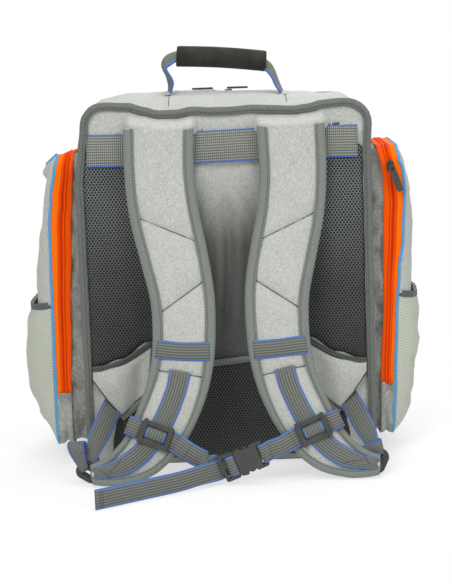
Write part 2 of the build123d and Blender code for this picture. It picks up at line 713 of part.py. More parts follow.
def zip_pull(plane, length, reach, turn):
    """A moulded tab with an eye at its root; it lies along X of its plane, turned about the normal."""
    with BuildPart() as pull:
        aim = plane.x_dir * cos(radians(turn)) + plane.y_dir * sin(radians(turn))
        with BuildSketch(Plane(origin=plane.origin, x_dir=aim, z_dir=plane.z_dir)):
            with Locations((reach + length / 2, 0)):
                SlotOverall(length, 8)
            with Locations((reach + 5.5, 0)):
                SlotOverall(6.5, 4.6, mode=Mode.SUBTRACT)
        extrude(amount=2.4)
    return pull


CHAIN_RISE = 1.0
PULL_RISE = 7.4
for side_name, side in SIDES.items():
    runner = Plane(
        origin=(side * 10, TAPE_MEET_Y, BODY_HEIGHT + TAPE + CHAIN_RISE), x_dir=(side, 0, 0), z_dir=(0, 0, 1)
    )
    save(zip_slider(runner), f"main_zip_{side_name}_slider")
    save(zip_pull(runner.offset(PULL_RISE), 27, -1, 0), f"main_zip_{side_name}_pull")

    # The right pocket's slider waits at the wearer's side, the left one's round at the front.
    face_y = POCKET_BACK_Y - TAPE - CHAIN_RISE if side > 0 else POCKET_FRONT_Y + TAPE + CHAIN_RISE
    runner = Plane(
        origin=(side * (HALF_WIDTH + POCKET_TAPE_MEET), face_y, POCKET_TOP - 30), x_dir=(0, 0, -1),
        z_dir=(0, -side, 0)
    )
    save(zip_slider(runner), f"{side_name}_pocket_slider")
    lean = PULL_LEAN if runner.y_dir.X * side > 0 else -PULL_LEAN
    save(zip_pull(runner.offset(PULL_RISE), 34, -1, lean), f"{side_name}_pocket_pull")

mouth_runner = mouth_plane.offset(TAPE + CHAIN_RISE)
mouth_runner = Plane(
    origin=mouth_runner.from_local_coords(Vector(-MOUTH_HALF + 12, 0, 0)), x_dir=(-1, 0, 0), z_dir=mouth_runner.z_dir
)
save(zip_slider(mouth_runner), "front_pocket_slider")
save(zip_pull(mouth_runner.offset(PULL_RISE), 27, -1, 0), "front_pocket_pull")

os.makedirs("parts", exist_ok=True)
for piece in pieces:
    export_step(piece, f"parts/{piece.label}.step")
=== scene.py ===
from math import cos, exp, hypot, pi, radians, sin

import bpy
from mathutils import Matrix, Vector, noise


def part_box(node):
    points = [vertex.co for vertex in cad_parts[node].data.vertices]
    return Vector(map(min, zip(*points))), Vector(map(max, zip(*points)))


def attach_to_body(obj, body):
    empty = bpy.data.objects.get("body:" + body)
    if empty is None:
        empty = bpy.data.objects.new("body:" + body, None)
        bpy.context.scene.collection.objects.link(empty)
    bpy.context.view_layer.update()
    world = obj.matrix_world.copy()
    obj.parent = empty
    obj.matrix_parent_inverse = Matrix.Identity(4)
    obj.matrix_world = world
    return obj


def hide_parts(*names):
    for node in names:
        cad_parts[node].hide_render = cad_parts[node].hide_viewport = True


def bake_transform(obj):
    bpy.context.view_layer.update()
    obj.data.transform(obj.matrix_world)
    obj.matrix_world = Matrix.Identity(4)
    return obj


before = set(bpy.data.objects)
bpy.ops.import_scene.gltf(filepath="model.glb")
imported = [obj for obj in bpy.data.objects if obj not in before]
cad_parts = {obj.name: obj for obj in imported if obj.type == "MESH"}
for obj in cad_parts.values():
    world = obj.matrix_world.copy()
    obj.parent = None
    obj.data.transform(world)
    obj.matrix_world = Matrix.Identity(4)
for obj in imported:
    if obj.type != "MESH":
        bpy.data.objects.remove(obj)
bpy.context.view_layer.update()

# Everything below is worked out in millimetres in the frame of the CAD, and turned to metres when a mesh is made.
# +X is the wearer's right as seen from behind, -Y the wearer's side, +Z up.
MM = 0.001
SIDES = {"left": -1, "right": 1}
UP = Vector((0, 0, 1))
TO_WEARER = Vector((0, -1, 0))


def box_mm(node):
    low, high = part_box(node)
    return low / MM, high / MM


BACK_Y = box_mm("back_panel")[0].y
HALF_WIDTH = box_mm("back_panel")[1].x
BAG_TOP = box_mm("back_panel")[1].z
FRONT_Y = box_mm("front_panel")[1].y
HINGE_Z = box_mm("front_panel")[0].z
TAPE_MEET_Y = (box_mm("main_zip_inner_tape")[1].y + box_mm("main_zip_outer_tape")[0].y) / 2
TOP_RADIUS = 28.0
FOOT_RADIUS = 20.0
STRAP_X = 3.0  # the harness and the handle sit this far off the bag's middle
HANDLE_Y = -25.0


# ------------------------------------------------------------------ camera, lights, floor
EYE, TARGET = Vector((0.0, -2.120, 0.540)), Vector((-0.0012, -0.120, 0.210))
CAMERA_ROLL = radians(-2.0)
# Each light's place and target in metres, its size and its power.
LIGHTS = {
    "key": ((-0.9, -2.2, 2.1), (0, 0, 0.25), 1.5, 40),
    "fill": ((1.5, -1.8, 1.2), (0, 0, 0.2), 1.6, 17),
    "overhead": ((0.1, 0.1, 2.2), (0, 0, 0), 1.8, 24),
    "behind": ((0.6, 2.2, 1.5), (0, 0, 0.25), 1.6, 24),
}


def stand(name, data):
    item = bpy.data.objects.new(name, data)
    bpy.context.scene.collection.objects.link(item)
    return item


def make_camera():
    data = bpy.data.cameras.new("camera")
    data.lens = 104.1
    data.sensor_width = 36.0
    camera = stand("camera", data)
    aim = (TARGET - EYE).to_track_quat("-Z", "Y").to_matrix().to_4x4()
    camera.matrix_world = Matrix.Translation(EYE) @ aim @ Matrix.Rotation(CAMERA_ROLL, 4, "Z")
    bpy.context.scene.camera = camera


def area_light(name, place, target, size, power):
    data = bpy.data.lights.new(name, "AREA")
    data.shape = "DISK"
    data.size = size
    data.energy = power
    light = stand(name, data)
    place = Vector(place)
    light.location = place
    light.rotation_euler = (Vector(target) - place).to_track_quat("-Z", "Y").to_euler()


def make_world():
    """Soft light from all round, with a plain white backdrop for the camera."""
    scene = bpy.context.scene
    scene.view_settings.view_transform = "Standard"
    world = bpy.data.worlds.new("studio")
    scene.world = world
    world.use_nodes = True
    nodes, links = world.node_tree.nodes, world.node_tree.links
    lit, seen = nodes["Background"], nodes.new("ShaderNodeBackground")
    for background, strength in ((lit, 0.36), (seen, 1.0)):
        background.inputs["Color"].default_value = (1, 1, 1, 1)
        background.inputs["Strength"].default_value = strength
    rays = nodes.new("ShaderNodeLightPath")
    both = nodes.new("ShaderNodeMixShader")
    links.new(rays.outputs["Is Camera Ray"], both.inputs["Fac"])
    links.new(lit.outputs["Background"], both.inputs[1])
    links.new(seen.outputs["Background"], both.inputs[2])
    links.new(both.outputs["Shader"], nodes["World Output"].inputs["Surface"])


def make_floor():
    """Pale paper that turns to the backdrop's plain white away from the bag."""
    bpy.ops.mesh.primitive_circle_add(vertices=96, radius=9.0, fill_type="NGON", location=(0, 0, 0))
    floor = bpy.context.object
    floor.name = "floor"
    paint = bpy.data.materials.new("floor_paper")
    paint.use_nodes = True
    nodes, links = paint.node_tree.nodes, paint.node_tree.links
    shader = nodes["Principled BSDF"]
    shader.inputs["Base Color"].default_value = (0.93, 0.93, 0.93, 1)
    shader.inputs["Roughness"].default_value = 0.9
    glow = nodes.new("ShaderNodeEmission")
    glow.inputs["Strength"].default_value = 1.0
    place = nodes.new("ShaderNodeTexCoord")
    distance = nodes.new("ShaderNodeVectorMath")
    distance.operation = "LENGTH"
    links.new(place.outputs["Object"], distance.inputs[0])
    # The share of white paper goes from a half at the bag to all of it 0.75 m away.
    away = nodes.new("ShaderNodeMapRange")
    away.interpolation_type = "SMOOTHSTEP"
    for socket, value in zip(list(away.inputs)[1:5], (0.0, 0.75, 0.5, 1.0)):
        socket.default_value = value
    links.new(distance.outputs["Value"], away.inputs[0])
    mixed = nodes.new("ShaderNodeMixShader")
    links.new(away.outputs[0], mixed.inputs["Fac"])
    links.new(shader.outputs["BSDF"], mixed.inputs[1])
    links.new(glow.outputs["Emission"], mixed.inputs[2])
    links.new(mixed.outputs["Shader"], nodes["Material Output"].inputs["Surface"])
    floor.data.materials.append(paint)


make_camera()
make_world()
for light_name, settings in LIGHTS.items():
    area_light(light_name, *settings)
make_floor()


# ------------------------------------------------------------------ materials
def linear(*rgb):
    """A colour from its 0-255 display values."""
    def channel(value):
        value /= 255
        return value / 12.92 if value <= 0.04045 else ((value + 0.055) / 1.055) ** 2.4
    return (*[channel(value) for value in rgb], 1.0)


def shade(colour, factor):
    return linear(*[min(255, channel * factor) for channel in colour])


WEFT_PITCH = 2.4  # from one light pick of webbing to the next
LOCKSTITCH = 3.2  # from one stitch in a binding to the next


class Paint:
    """A node material under construction. Every length in it is in millimetres."""

    def __init__(self, name, roughness=0.8, sheen=0.0, metallic=0.0, specular=0.5):
        self.material = bpy.data.materials.new(name)
        self.material.use_nodes = True
        self.tree = self.material.node_tree
        self.shader = self.tree.nodes["Principled BSDF"]
        self.shader.inputs["Roughness"].default_value = roughness
        self.shader.inputs["Sheen Weight"].default_value = sheen
        self.shader.inputs["Sheen Roughness"].default_value = 0.5
        self.shader.inputs["Metallic"].default_value = metallic
        self.shader.inputs["Specular IOR Level"].default_value = specular
        self.height = None

    def node(self, kind, **settings):
        made = self.tree.nodes.new(kind)
        for key, value in settings.items():
            setattr(made, key, value)
        return made

    def feed(self, socket, value):
        if isinstance(value, bpy.types.NodeSocket):
            self.tree.links.new(value, socket)
        else:
            socket.default_value = value

    def place(self, scale=(1, 1, 1)):
        """Where a point is on the object, in millimetres times scale."""
        source = self.node("ShaderNodeTexCoord").outputs["Object"]
        return self.vector("MULTIPLY", source, [1000 * s for s in scale])

    def route(self):
        """(along, across, half width) of a strip, in millimetres."""
        return self.parts(self.node("ShaderNodeAttribute", attribute_name="route").outputs["Vector"])

    def vector(self, how, a, b=None, out="Vector"):
        made = self.node("ShaderNodeVectorMath", operation=how)
        self.feed(made.inputs[0], a)
        if b is not None:
            self.feed(made.inputs[1], b)
        return made.outputs[out]

    def parts(self, vector):
        split = self.node("ShaderNodeSeparateXYZ")
        self.feed(split.inputs[0], vector)
        return split.outputs

    def join(self, x, y, z=0.0):
        made = self.node("ShaderNodeCombineXYZ")
        for socket, value in zip(made.inputs, (x, y, z)):
            self.feed(socket, value)
        return made.outputs[0]

    def times(self, a, b):
        return self.sum("MULTIPLY", a, b)

    def plus(self, a, b):
        return self.sum("ADD", a, b)

    def minus(self, a, b):
        return self.sum("SUBTRACT", a, b)

    def size(self, a):
        return self.sum("ABSOLUTE", a)

    def sum(self, how, a, b=0.0, c=None):
        made = self.node("ShaderNodeMath", operation=how)
        self.feed(made.inputs[0], a)
        self.feed(made.inputs[1], b)
        if c is not None:
            self.feed(made.inputs[2], c)
        return made.outputs[0]

    def noise(self, vector, scale=1.0, detail=2.0, rough=0.5):
        made = self.node("ShaderNodeTexNoise")
        self.feed(made.inputs["Vector"], vector)
        made.inputs["Scale"].default_value = scale
        made.inputs["Detail"].default_value = detail
        made.inputs["Roughness"].default_value = rough
        return made.outputs["Fac"]

    def spread(self, value, low, high, to_low=0.0, to_high=1.0, smooth=False):
        made = self.node("ShaderNodeMapRange")
        if smooth:
            made.interpolation_type = "SMOOTHSTEP"
        for socket, given in zip(made.inputs, (value, low, high, to_low, to_high)):
            self.feed(socket, given)
        return made.outputs[0]

    def mix(self, factor, a, b):
        made = self.node("ShaderNodeMix", data_type="RGBA")
        self.feed(made.inputs["Factor"], factor)
        self.feed([s for s in made.inputs if s.name == "A" and s.type == "RGBA"][0], a)
        self.feed([s for s in made.inputs if s.name == "B" and s.type == "RGBA"][0], b)
        return [s for s in made.outputs if s.type == "RGBA"][0]

    def lift(self, height, depth):
        """Adds a relief of that many millimetres."""
        bump = self.node("ShaderNodeBump")
        bump.inputs["Strength"].default_value = 1.0
        bump.inputs["Distance"].default_value = depth * MM
        self.feed(bump.inputs["Height"], height)
        if self.height is not None:
            self.feed(bump.inputs["Normal"], self.height)
        self.height = bump.outputs["Normal"]

    def done(self, colour, roughness=None):
        self.feed(self.shader.inputs["Base Color"], colour)
        if roughness is not None:
            self.feed(self.shader.inputs["Roughness"], roughness)
        if self.height is not None:
            self.feed(self.shader.inputs["Normal"], self.height)
        return self.material


def heather(name, dark, middle, light, soil=0.05, hollow=0.0, crease_shade=0.0):
    """Melange woven polyester: light and dark yarns run both ways, with slubs several millimetres long.

    hollow sets how much painted shade darkens the cloth low down in the middle of the back, where the straps shade it,
    and the last argument how dark the streaks of painted crease shadow are that run down slack cloth."""
    p = Paint(name, roughness=0.9, sheen=0.1, specular=0.2)
    faces = p.parts(p.vector("ABSOLUTE", p.node("ShaderNodeTexCoord").outputs["Normal"]))
    slubs = [p.place([0.24 if axis == run else 1.7 for axis in range(3)]) for run in range(3)]
    along_x, along_y, along_z = (p.noise(slub, 1.0, 2.0, 0.6) for slub in slubs)
    warp = p.sum("MULTIPLY_ADD", p.minus(along_y, along_z), p.spread(faces[2], 0.55, 0.75), along_z)
    weft = p.sum("MULTIPLY_ADD", p.minus(along_y, along_x), p.spread(faces[0], 0.55, 0.75), along_x)
    yarn = p.plus(p.times(warp, 0.55), p.times(weft, 0.45))
    tone = p.spread(yarn, 0.34, 0.66)
    colour = p.mix(p.spread(tone, 0.0, 0.5), linear(*dark), linear(*middle))
    colour = p.mix(p.spread(tone, 0.5, 1.0), colour, linear(*light))
    cloud = p.noise(p.place(), 0.018, 3.0, 0.55)
    colour = p.mix(p.spread(cloud, 0.35, 0.7, 0.0, soil), colour, linear(60, 62, 60))
    # Painted shade: dark streaks run down slack cloth, standing in for the shadow in its creases.
    if crease_shade:
        streaks = p.noise(p.place((0.06, 0.04, 0.028)), 1.0, 3.0, 0.6)
        colour = p.mix(p.spread(streaks, 0.46, 0.66, 0.0, crease_shade, smooth=True), colour, linear(52, 54, 51))
    # Painted shade: the cloth turns dark low down between the straps, standing in for the shadow there.
    if hollow:
        x, y, z = p.parts(p.place())
        low = p.spread(z, 258, 372, hollow, 0.0, smooth=True)
        between_straps_shade = p.spread(p.size(p.minus(x, STRAP_X)), 26, 130, 1.0, 0.12, smooth=True)
        colour = p.mix(p.times(low, between_straps_shade), colour, linear(34, 35, 32))
    weave = p.times(p.noise(p.place((2.2, 2.2, 0.6))), p.noise(p.place((0.6, 0.6, 2.2))))
    p.lift(weave, 0.45)
    return p.done(colour, p.spread(tone, 0, 1, 0.93, 0.8))


def ribbed_tape(name, base, edge=None, edge_width=2.0, rib=3.2, contrast=0.16, gloss=0.7, speckle=0.0, sheen=0.1):
    """Woven webbing: ribs run along it, light picks dot them, and the two edges may be another colour."""
    p = Paint(name, roughness=gloss, sheen=sheen, specular=0.3 if sheen else 0.12)
    along, across, half = p.route()
    ribs = p.sum("COSINE", p.times(across, 2 * pi / rib))
    dots = p.sum("SINE", p.times(along, 2 * pi / WEFT_PITCH))
    grain = p.noise(p.join(p.times(along, 0.9), p.times(across, 1.8), half), 1.0, 2.0, 0.6)
    tone = p.plus(p.times(ribs, 0.26), p.times(grain, 0.5))
    tone = p.plus(p.plus(tone, 0.25), p.times(p.times(p.plus(ribs, 1.0), dots), speckle))
    colour = p.mix(p.spread(tone, 0.0, 1.0), shade(base, 1 - contrast * 1.3), shade(base, 1 + contrast))
    height = p.plus(p.times(ribs, 0.7), p.times(dots, 0.3))
    if edge:
        inwards = p.minus(half, p.size(across))
        band = p.spread(inwards, edge_width - 0.25, edge_width + 0.25, 1.0, 0.0)
        edge_tone = p.mix(p.spread(grain, 0.3, 0.7), shade(edge, 0.8), linear(*edge))
        colour = p.mix(band, colour, edge_tone)
    p.lift(height, 0.16)
    return p.done(colour)


def stitched_binding(name, base, seams=(2.5,)):
    """Grosgrain folded over an edge: fine ribs across it and dark lockstitch that sinks in near its edges."""
    p = Paint(name, roughness=0.88, sheen=0.12, specular=0.2)
    along, across, half = p.route()
    ribs = p.sum("SINE", p.times(along, 2 * pi / 1.3))
    grain = p.noise(p.join(p.times(along, 1.1), p.times(across, 1.1), half), 1.0, 3.0, 0.65)
    colour = p.mix(p.spread(grain, 0.3, 0.7), shade(base, 0.8), shade(base, 1.2))
    height = p.times(ribs, 0.2)
    for seam in seams:
        off = p.size(p.minus(across, p.minus(half, seam)))
        line = p.spread(off, 0.4, 0.9, 1.0, 0.0)
        dash = p.spread(p.sum("FRACT", p.times(along, 1 / LOCKSTITCH)), 0.3, 0.42, 1.0, 0.15)
        colour = p.mix(p.times(p.times(line, dash), 0.75), colour, linear(24, 26, 25))
        height = p.plus(height, p.spread(off, 0.0, 1.6, 0.0, 1.0, smooth=True))
    p.lift(height, 0.5)
    return p.done(colour)


def holed_mesh(name, thread_dark, thread_light, hole, pitch, hole_size, axes, relief, dim=0.0):
    """Knitted mesh: rows of staggered holes between raised threads. dim is painted shade that darkens it towards its
    foot, where the straps shade it.
    """
    p = Paint(name, roughness=0.8, sheen=0.1, specular=0.3)
    flat = [0.0, 0.0, 0.0]
    size = [0.0, 0.0, 0.0]
    for axis, length in zip(axes, pitch):
        flat[axis] = 1 / length
        size[axis] = length
    cell = p.place(flat)
    reach = []
    for shift in (0.0, 0.5):
        moved = [shift if axis in axes else 0.0 for axis in range(3)]
        local = p.vector("FRACTION", p.vector("ADD", cell, moved))
        local = p.vector("SUBTRACT", local, [0.5 if axis in axes else 0.0 for axis in range(3)])
        reach.append(p.vector("LENGTH", p.vector("MULTIPLY", local, size), out="Value"))
    nearest = p.sum("MINIMUM", *reach)
    thread = p.spread(nearest, hole_size * 0.75, hole_size * 1.2, 0.0, 1.0, smooth=True)
    fibres = p.noise(p.place(), 1.6, 2.0, 0.6)
    cloud = p.noise(p.place(), 0.02, 2.0, 0.5)
    knit = p.mix(p.spread(fibres, 0.3, 0.7), linear(*thread_dark), linear(*thread_light))
    knit = p.mix(p.spread(cloud, 0.4, 0.7, 0.0, 0.2), knit, linear(*hole))
    # Painted shade: the mesh darkens towards the hole colour from 330 mm down, fully at 190 mm.
    if dim:
        z = p.parts(p.place())[2]
        knit = p.mix(p.spread(z, 190, 330, dim, 0.0, smooth=True), knit, linear(*hole))
    p.lift(thread, relief)
    return p.done(p.mix(thread, linear(*hole), knit))


def moulded(name, base, grain_depth=0.05, gloss=0.42, wear=(105, 106, 103), specular=0.5):
    """Moulded plastic with a fine spark-eroded grain, and patches of a worn colour and roughness here and there."""
    p = Paint(name, roughness=gloss, specular=specular)
    grain = p.noise(p.place(), 3.0, 3.0, 0.6)
    cloud = p.noise(p.place(), 0.12, 2.0, 0.5)
    colour = p.mix(p.spread(cloud, 0.3, 0.75, 0.0, 0.35), linear(*base), linear(*wear))
    p.lift(grain, grain_depth)
    return p.done(colour, p.spread(cloud, 0.3, 0.7, gloss - 0.08, gloss + 0.12))


def smooth_cord(name, base):
    """Piping: a cord in a bias strip of smooth woven tape."""
    p = Paint(name, roughness=0.62, sheen=0.1, specular=0.4)
    along, across, half = p.route()
    twill = p.sum("SINE", p.times(p.plus(along, across), 2 * pi / 0.9))
    grain = p.noise(p.place(), 0.5, 3.0, 0.6)
    colour = p.mix(p.spread(grain, 0.3, 0.7), shade(base, 0.86), linear(*base))
    p.lift(twill, 0.08)
    return p.done(colour)


def foam(name, base):
    p = Paint(name, roughness=0.92, sheen=0.1, specular=0.2)
    pores = p.noise(p.place(), 1.1, 4.0, 0.7)
    cloud = p.noise(p.place(), 0.05, 2.0, 0.5)
    colour = p.mix(p.spread(pores, 0.35, 0.65), shade(base, 0.75), shade(base, 1.15))
    colour = p.mix(p.spread(cloud, 0.35, 0.7, 0.0, 0.18), colour, linear(90, 96, 80))
    p.lift(pores, 0.18)
    return p.done(colour)


def coated(name, base):
    """Coated packcloth: a fine basket weave under a dull skin, scuffed here and there."""
    p = Paint(name, roughness=0.6, specular=0.35)
    weave = p.times(p.noise(p.place((1.4, 1.4, 0.5))), p.noise(p.place((0.5, 0.5, 1.4))))
    scuff = p.noise(p.place(), 0.06, 5.0, 0.7)
    colour = p.mix(p.spread(scuff, 0.5, 0.75, 0.0, 0.4), linear(*base), linear(92, 93, 90))
    p.lift(weave, 0.3)
    return p.done(colour)


def worn_metal(name, base):
    p = Paint(name, roughness=0.4, metallic=0.8)
    grain = p.noise(p.place(), 0.9, 4.0, 0.6)
    colour = p.mix(p.spread(grain, 0.4, 0.7), linear(*base), shade(base, 1.5))
    p.lift(grain, 0.05)
    return p.done(colour, p.spread(grain, 0.3, 0.7, 0.3, 0.55))


HEATHER = heather("heather_fabric", (148, 150, 145), (180, 182, 176), (204, 205, 199))
# The back panel's cloth, with painted shade low down between the straps.
HEATHER_BACK = heather("heather_back", (148, 150, 145), (182, 184, 178), (206, 207, 201), hollow=0.78)
# The gussets are the bag's own heather cloth, painted darker: painted shade for the shadow they sit in beside the bag,
# with painted crease streaks.
HEATHER_SHADED_GUSSET = heather("heather_gusset_shaded", (106, 108, 104), (146, 148, 142), (180, 182, 175), soil=0.1, crease_shade=0.5)
HEATHER_SHADED_LOW_GUSSET = heather("heather_low_gusset_shaded", (116, 118, 113), (156, 158, 152), (188, 190, 183), soil=0.1, crease_shade=0.35)
BINDING = stitched_binding("binding_tape", (119, 124, 119))
EDGE_BINDING = stitched_binding("edge_binding_tape", (100, 104, 100), seams=(2.4, 16.0))
WING_BINDING = stitched_binding("wing_binding_tape", (80, 85, 81))
MESH = holed_mesh("spacer_mesh", (100, 105, 102), (136, 141, 137), (22, 24, 23), (4.0, 6.1), 1.44, (0, 2), 0.9, dim=0.6)
SIDE_MESH = holed_mesh("side_mesh", (178, 183, 169), (206, 210, 196), (150, 156, 142), (2.2, 3.4), 0.6, (1, 2), 0.3)
BLUE_EDGE = (70, 118, 204)
WEBBING = ribbed_tape("webbing", (93, 96, 91), BLUE_EDGE, 1.8, contrast=0.42, speckle=0.07)
YOKE = ribbed_tape("yoke_webbing", (104, 107, 100), BLUE_EDGE, 1.6, contrast=0.55, speckle=0.3)
ELASTIC = ribbed_tape("elastic", (84, 88, 88), rib=1.6, contrast=0.2)
ORANGE_TAPE = ribbed_tape("orange_tape", (252, 112, 0), rib=1.5, contrast=0.05, gloss=0.8, sheen=0.0)
# The inner tape is the same cloth as the outer one; its darker orange is painted shade where it sits in beside the
# gusset.
ORANGE_TAPE_SHADED = ribbed_tape("orange_tape_inner_shaded", (238, 84, 0), rib=1.5, contrast=0.06, gloss=0.8, sheen=0.0)
ORANGE_CHAIN = moulded("orange_chain", (216, 58, 0), 0.03, 0.8, wear=(224, 68, 0), specular=0.1)
ORANGE_THREAD = moulded("orange_thread", (246, 104, 10), 0.02, 0.8, wear=(240, 96, 8), specular=0.1)
GREY_TAPE = ribbed_tape("grey_tape", (92, 95, 94), rib=1.5, contrast=0.12)
GREY_CHAIN = moulded("grey_chain", (58, 60, 60), 0.03, 0.4)
PIPING = smooth_cord("blue_piping", (78, 162, 222))
FOAM = foam("grip_foam", (36, 39, 33))
PLASTIC = moulded("buckle_plastic", (54, 55, 53), 0.05, 0.42, wear=(80, 81, 78))
METAL = worn_metal("slider_metal", (66, 68, 66))
BASE = coated("base_fabric", (38, 39, 39))
SHEET = moulded("frame_sheet", (214, 216, 212), 0.02, 0.5, wear=(196, 198, 194))
THREAD = moulded("seam_thread", (60, 63, 60), 0.02, 0.8)
# Thread colour that is also painted shade: it darkens the strap's quilting grooves.
QUILT_THREAD_AND_SHADE = moulded("quilting_thread_and_groove_shade", (92, 94, 90), 0.02, 0.9, wear=(108, 110, 106))
# Dark thread that is also painted shadow: the lines under the wings' binding and along their loose hem.
DARK_THREAD_AND_SHADE = moulded("dark_seam_thread_and_shade", (44, 46, 44), 0.02, 0.9, wear=(60, 62, 60))

# The material slot that each material stands for.
SLOT_OF = {material.name: slot for slot, materials in {
    "heather_fabric": (HEATHER, HEATHER_BACK, HEATHER_SHADED_GUSSET, HEATHER_SHADED_LOW_GUSSET),
    "binding_fabric": (BINDING, EDGE_BINDING, WING_BINDING, ELASTIC, QUILT_THREAD_AND_SHADE, DARK_THREAD_AND_SHADE),
    "webbing": (WEBBING, YOKE, THREAD),
    "orange_zip": (ORANGE_TAPE, ORANGE_TAPE_SHADED, ORANGE_CHAIN, ORANGE_THREAD),
    "grey_zip": (GREY_TAPE, GREY_CHAIN),
    "spacer_mesh": (MESH,), "side_mesh": (SIDE_MESH,), "blue_piping": (PIPING,), "grip_foam": (FOAM,),
    "base_fabric": (BASE,),
}.items() for material in materials}


# ------------------------------------------------------------------ mesh building
def new_piece(name, points, faces, material, routes=None, smooth=True, slot=None):
    mesh = bpy.data.meshes.new(name)
    mesh.from_pydata([Vector(p) * MM for p in points], [], faces)
    mesh.update()
    if routes:
        attribute = mesh.attributes.new("route", "FLOAT_VECTOR", "POINT")
        attribute.data.foreach_set("vector", [value for route in routes for value in route])
    if smooth:
        mesh.shade_smooth()
    piece = bpy.data.objects.new(name, mesh)
    bpy.context.scene.collection.objects.link(piece)
    mesh.materials.append(material)
    slot or SLOT_OF[material.name]
    return piece


def attach(piece, body, replaces=()):
    """The piece rides on a body. body may also be (body_a, body_b, start, end): then its transform is only baked into
    its mesh.
    """
    if isinstance(body, str):
        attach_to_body(piece, body)
    else:
        body_a, body_b, start, end = body
        tuple(Vector(start) * MM)
        tuple(Vector(end) * MM)
        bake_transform(piece)
    if replaces:
        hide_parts(*replaces)
    return piece


def thicken(piece, thickness, offset=0.0):
    modifier = piece.modifiers.new("thickness", "SOLIDIFY")
    modifier.thickness = thickness * MM
    modifier.offset = offset


def quads(rows, columns, wrap=False, start=0):
    faces = []
    for r in range(rows - 1):
        for c in range(columns if wrap else columns - 1):
            d = (c + 1) % columns
            low, high = start + r * columns, start + (r + 1) * columns
            faces.append((low + c, low + d, high + d, high + c))
    return faces


def grid(columns, rows, point):
    """Rows of points: point(u, v) with u across and v along, both from 0 to 1."""
    return [[point(c / (columns - 1), r / (rows - 1)) for c in range(columns)] for r in range(rows)]


def flat(rows):
    return [item for row in rows for item in row]


def sheet(name, rows, material, thickness, body, replaces=(), wrap=False, routes=None):
    """A surface from rows of points, with a thickness about it."""
    faces = quads(len(rows), len(rows[0]), wrap)
    piece = new_piece(name, flat(rows), faces, material, flat(routes) if routes else None)
    thicken(piece, thickness)
    return attach(piece, body, replaces)


def pillow(name, front, back, material, body, replaces):
    """A closed form from a front surface and a back surface whose edges face each other."""
    rows, columns = len(front), len(front[0])
    count = rows * columns
    faces = quads(rows, columns)
    faces += [tuple(reversed(face)) for face in quads(rows, columns, start=count)]
    rim = [(0, c) for c in range(columns)] + [(r, columns - 1) for r in range(1, rows)]
    rim += [(rows - 1, c) for c in range(columns - 2, -1, -1)] + [(r, 0) for r in range(rows - 2, 0, -1)]
    ids = [r * columns + c for r, c in rim]
    for a, b in zip(ids, ids[1:] + ids[:1]):
        faces.append((b, a, a + count, b + count))
    piece = attach(new_piece(name, flat(front) + flat(back), faces, material), body, replaces)


def laid_flat(rows, y):
    """The same rows of points, all at one place along Y."""
    return [[Vector((p.x, y, p.z)) for p in row] for row in rows]


def through(points, step=5.0):
    """A smooth line through the points, sampled about every step. Works in any number of dimensions."""
    points = [Vector(p) for p in points]
    line = [points[0]]
    for i in range(len(points) - 1):
        p1, p2 = points[i], points[i + 1]
        p0 = points[i - 1] if i else p1 * 2 - p2
        p3 = points[i + 2] if i + 2 < len(points) else p2 * 2 - p1
        d1, d0, d2 = (p2 - p1).length, (p1 - p0).length, (p3 - p2).length
        m1 = (p2 - p0) / max(d0 + d1, 1e-6) * d1
        m2 = (p3 - p1) / max(d1 + d2, 1e-6) * d1
        count = max(1, round(d1 / step))
        for k in range(1, count + 1):
            t = k / count
            a, b = 2 * t**3 - 3 * t**2 + 1, t**3 - 2 * t**2 + t
            line.append(p1 * a + m1 * b + p2 * (3 * t**2 - 2 * t**3) + m2 * (t**3 - t**2))
    return line


def along_of(line):
    """How far along the line each of its points is."""
    total, result = 0.0, [0.0]
    for a, b in zip(line, line[1:]):
        total += (b - a).length
        result.append(total)
    return result


def tangents(line):
    last = len(line) - 1
    return [(line[min(k + 1, last)] - line[max(k - 1, 0)]).normalized() for k in range(last + 1)]


def facing_wearer(normal):
    return normal if normal.y < 0 else -normal


def at_length(line, lengths, s):
    """The point at distance s along a line, and the index of the run it is on."""
    for i in range(len(lengths) - 1):
        if s <= lengths[i + 1]:
            t = (s - lengths[i]) / max(lengths[i + 1] - lengths[i], 1e-9)
            return line[i].lerp(line[i + 1], t), i
    return line[-1], len(lengths) - 2


def fade(value, low, high):
    """0 below low, 1 above high, smooth between."""
    t = min(1.0, max(0.0, (value - low) / (high - low)))
    return t * t * (3 - 2 * t)


def bell(value, middle, width):
    """1 at the middle, falling smoothly to 0 on both sides."""
    return exp(-(((value - middle) / width) ** 2))


def table(rows, key):
    """Reads a value between the rows of a table of (key, value), smoothly."""
    if key <= rows[0][0]:
        return rows[0][1]
    for (k0, v0), (k1, v1) in zip(rows, rows[1:]):
        if key <= k1:
            return v0 + (v1 - v0) * fade(key, k0, k1)
    return rows[-1][1]


def crumple(p, size, seed=0.0):
    """Smooth uneven height from -1 to 1 with features about this many millimetres across."""
    q = Vector((p[0], p[1], p[2])) / size + Vector((seed, seed * 1.7, -seed))
    return noise.fractal(q, 1.0, 2.0, 3)


def flat_section(width, thick):
    """The closed outline of a strip of webbing: (across, up)."""
    half, up = width / 2, thick / 2
    r = min(0.6, up)
    top = [(-half, 0), (-half + r, up), (0, up * 1.05), (half - r, up)]
    return top + [(-a, -b) for a, b in top]


def oval_section(width, thick, count=12):
    turns = [2 * pi * k / count for k in range(count)]
    return [(-cos(turn) * width / 2, sin(turn) * thick / 2) for turn in turns]


def axes_at(tangent, normal):
    """The directions across and up that go with a tangent, given roughly which way is up."""
    across = tangent.cross(normal).normalized()
    return across, across.cross(tangent).normalized()


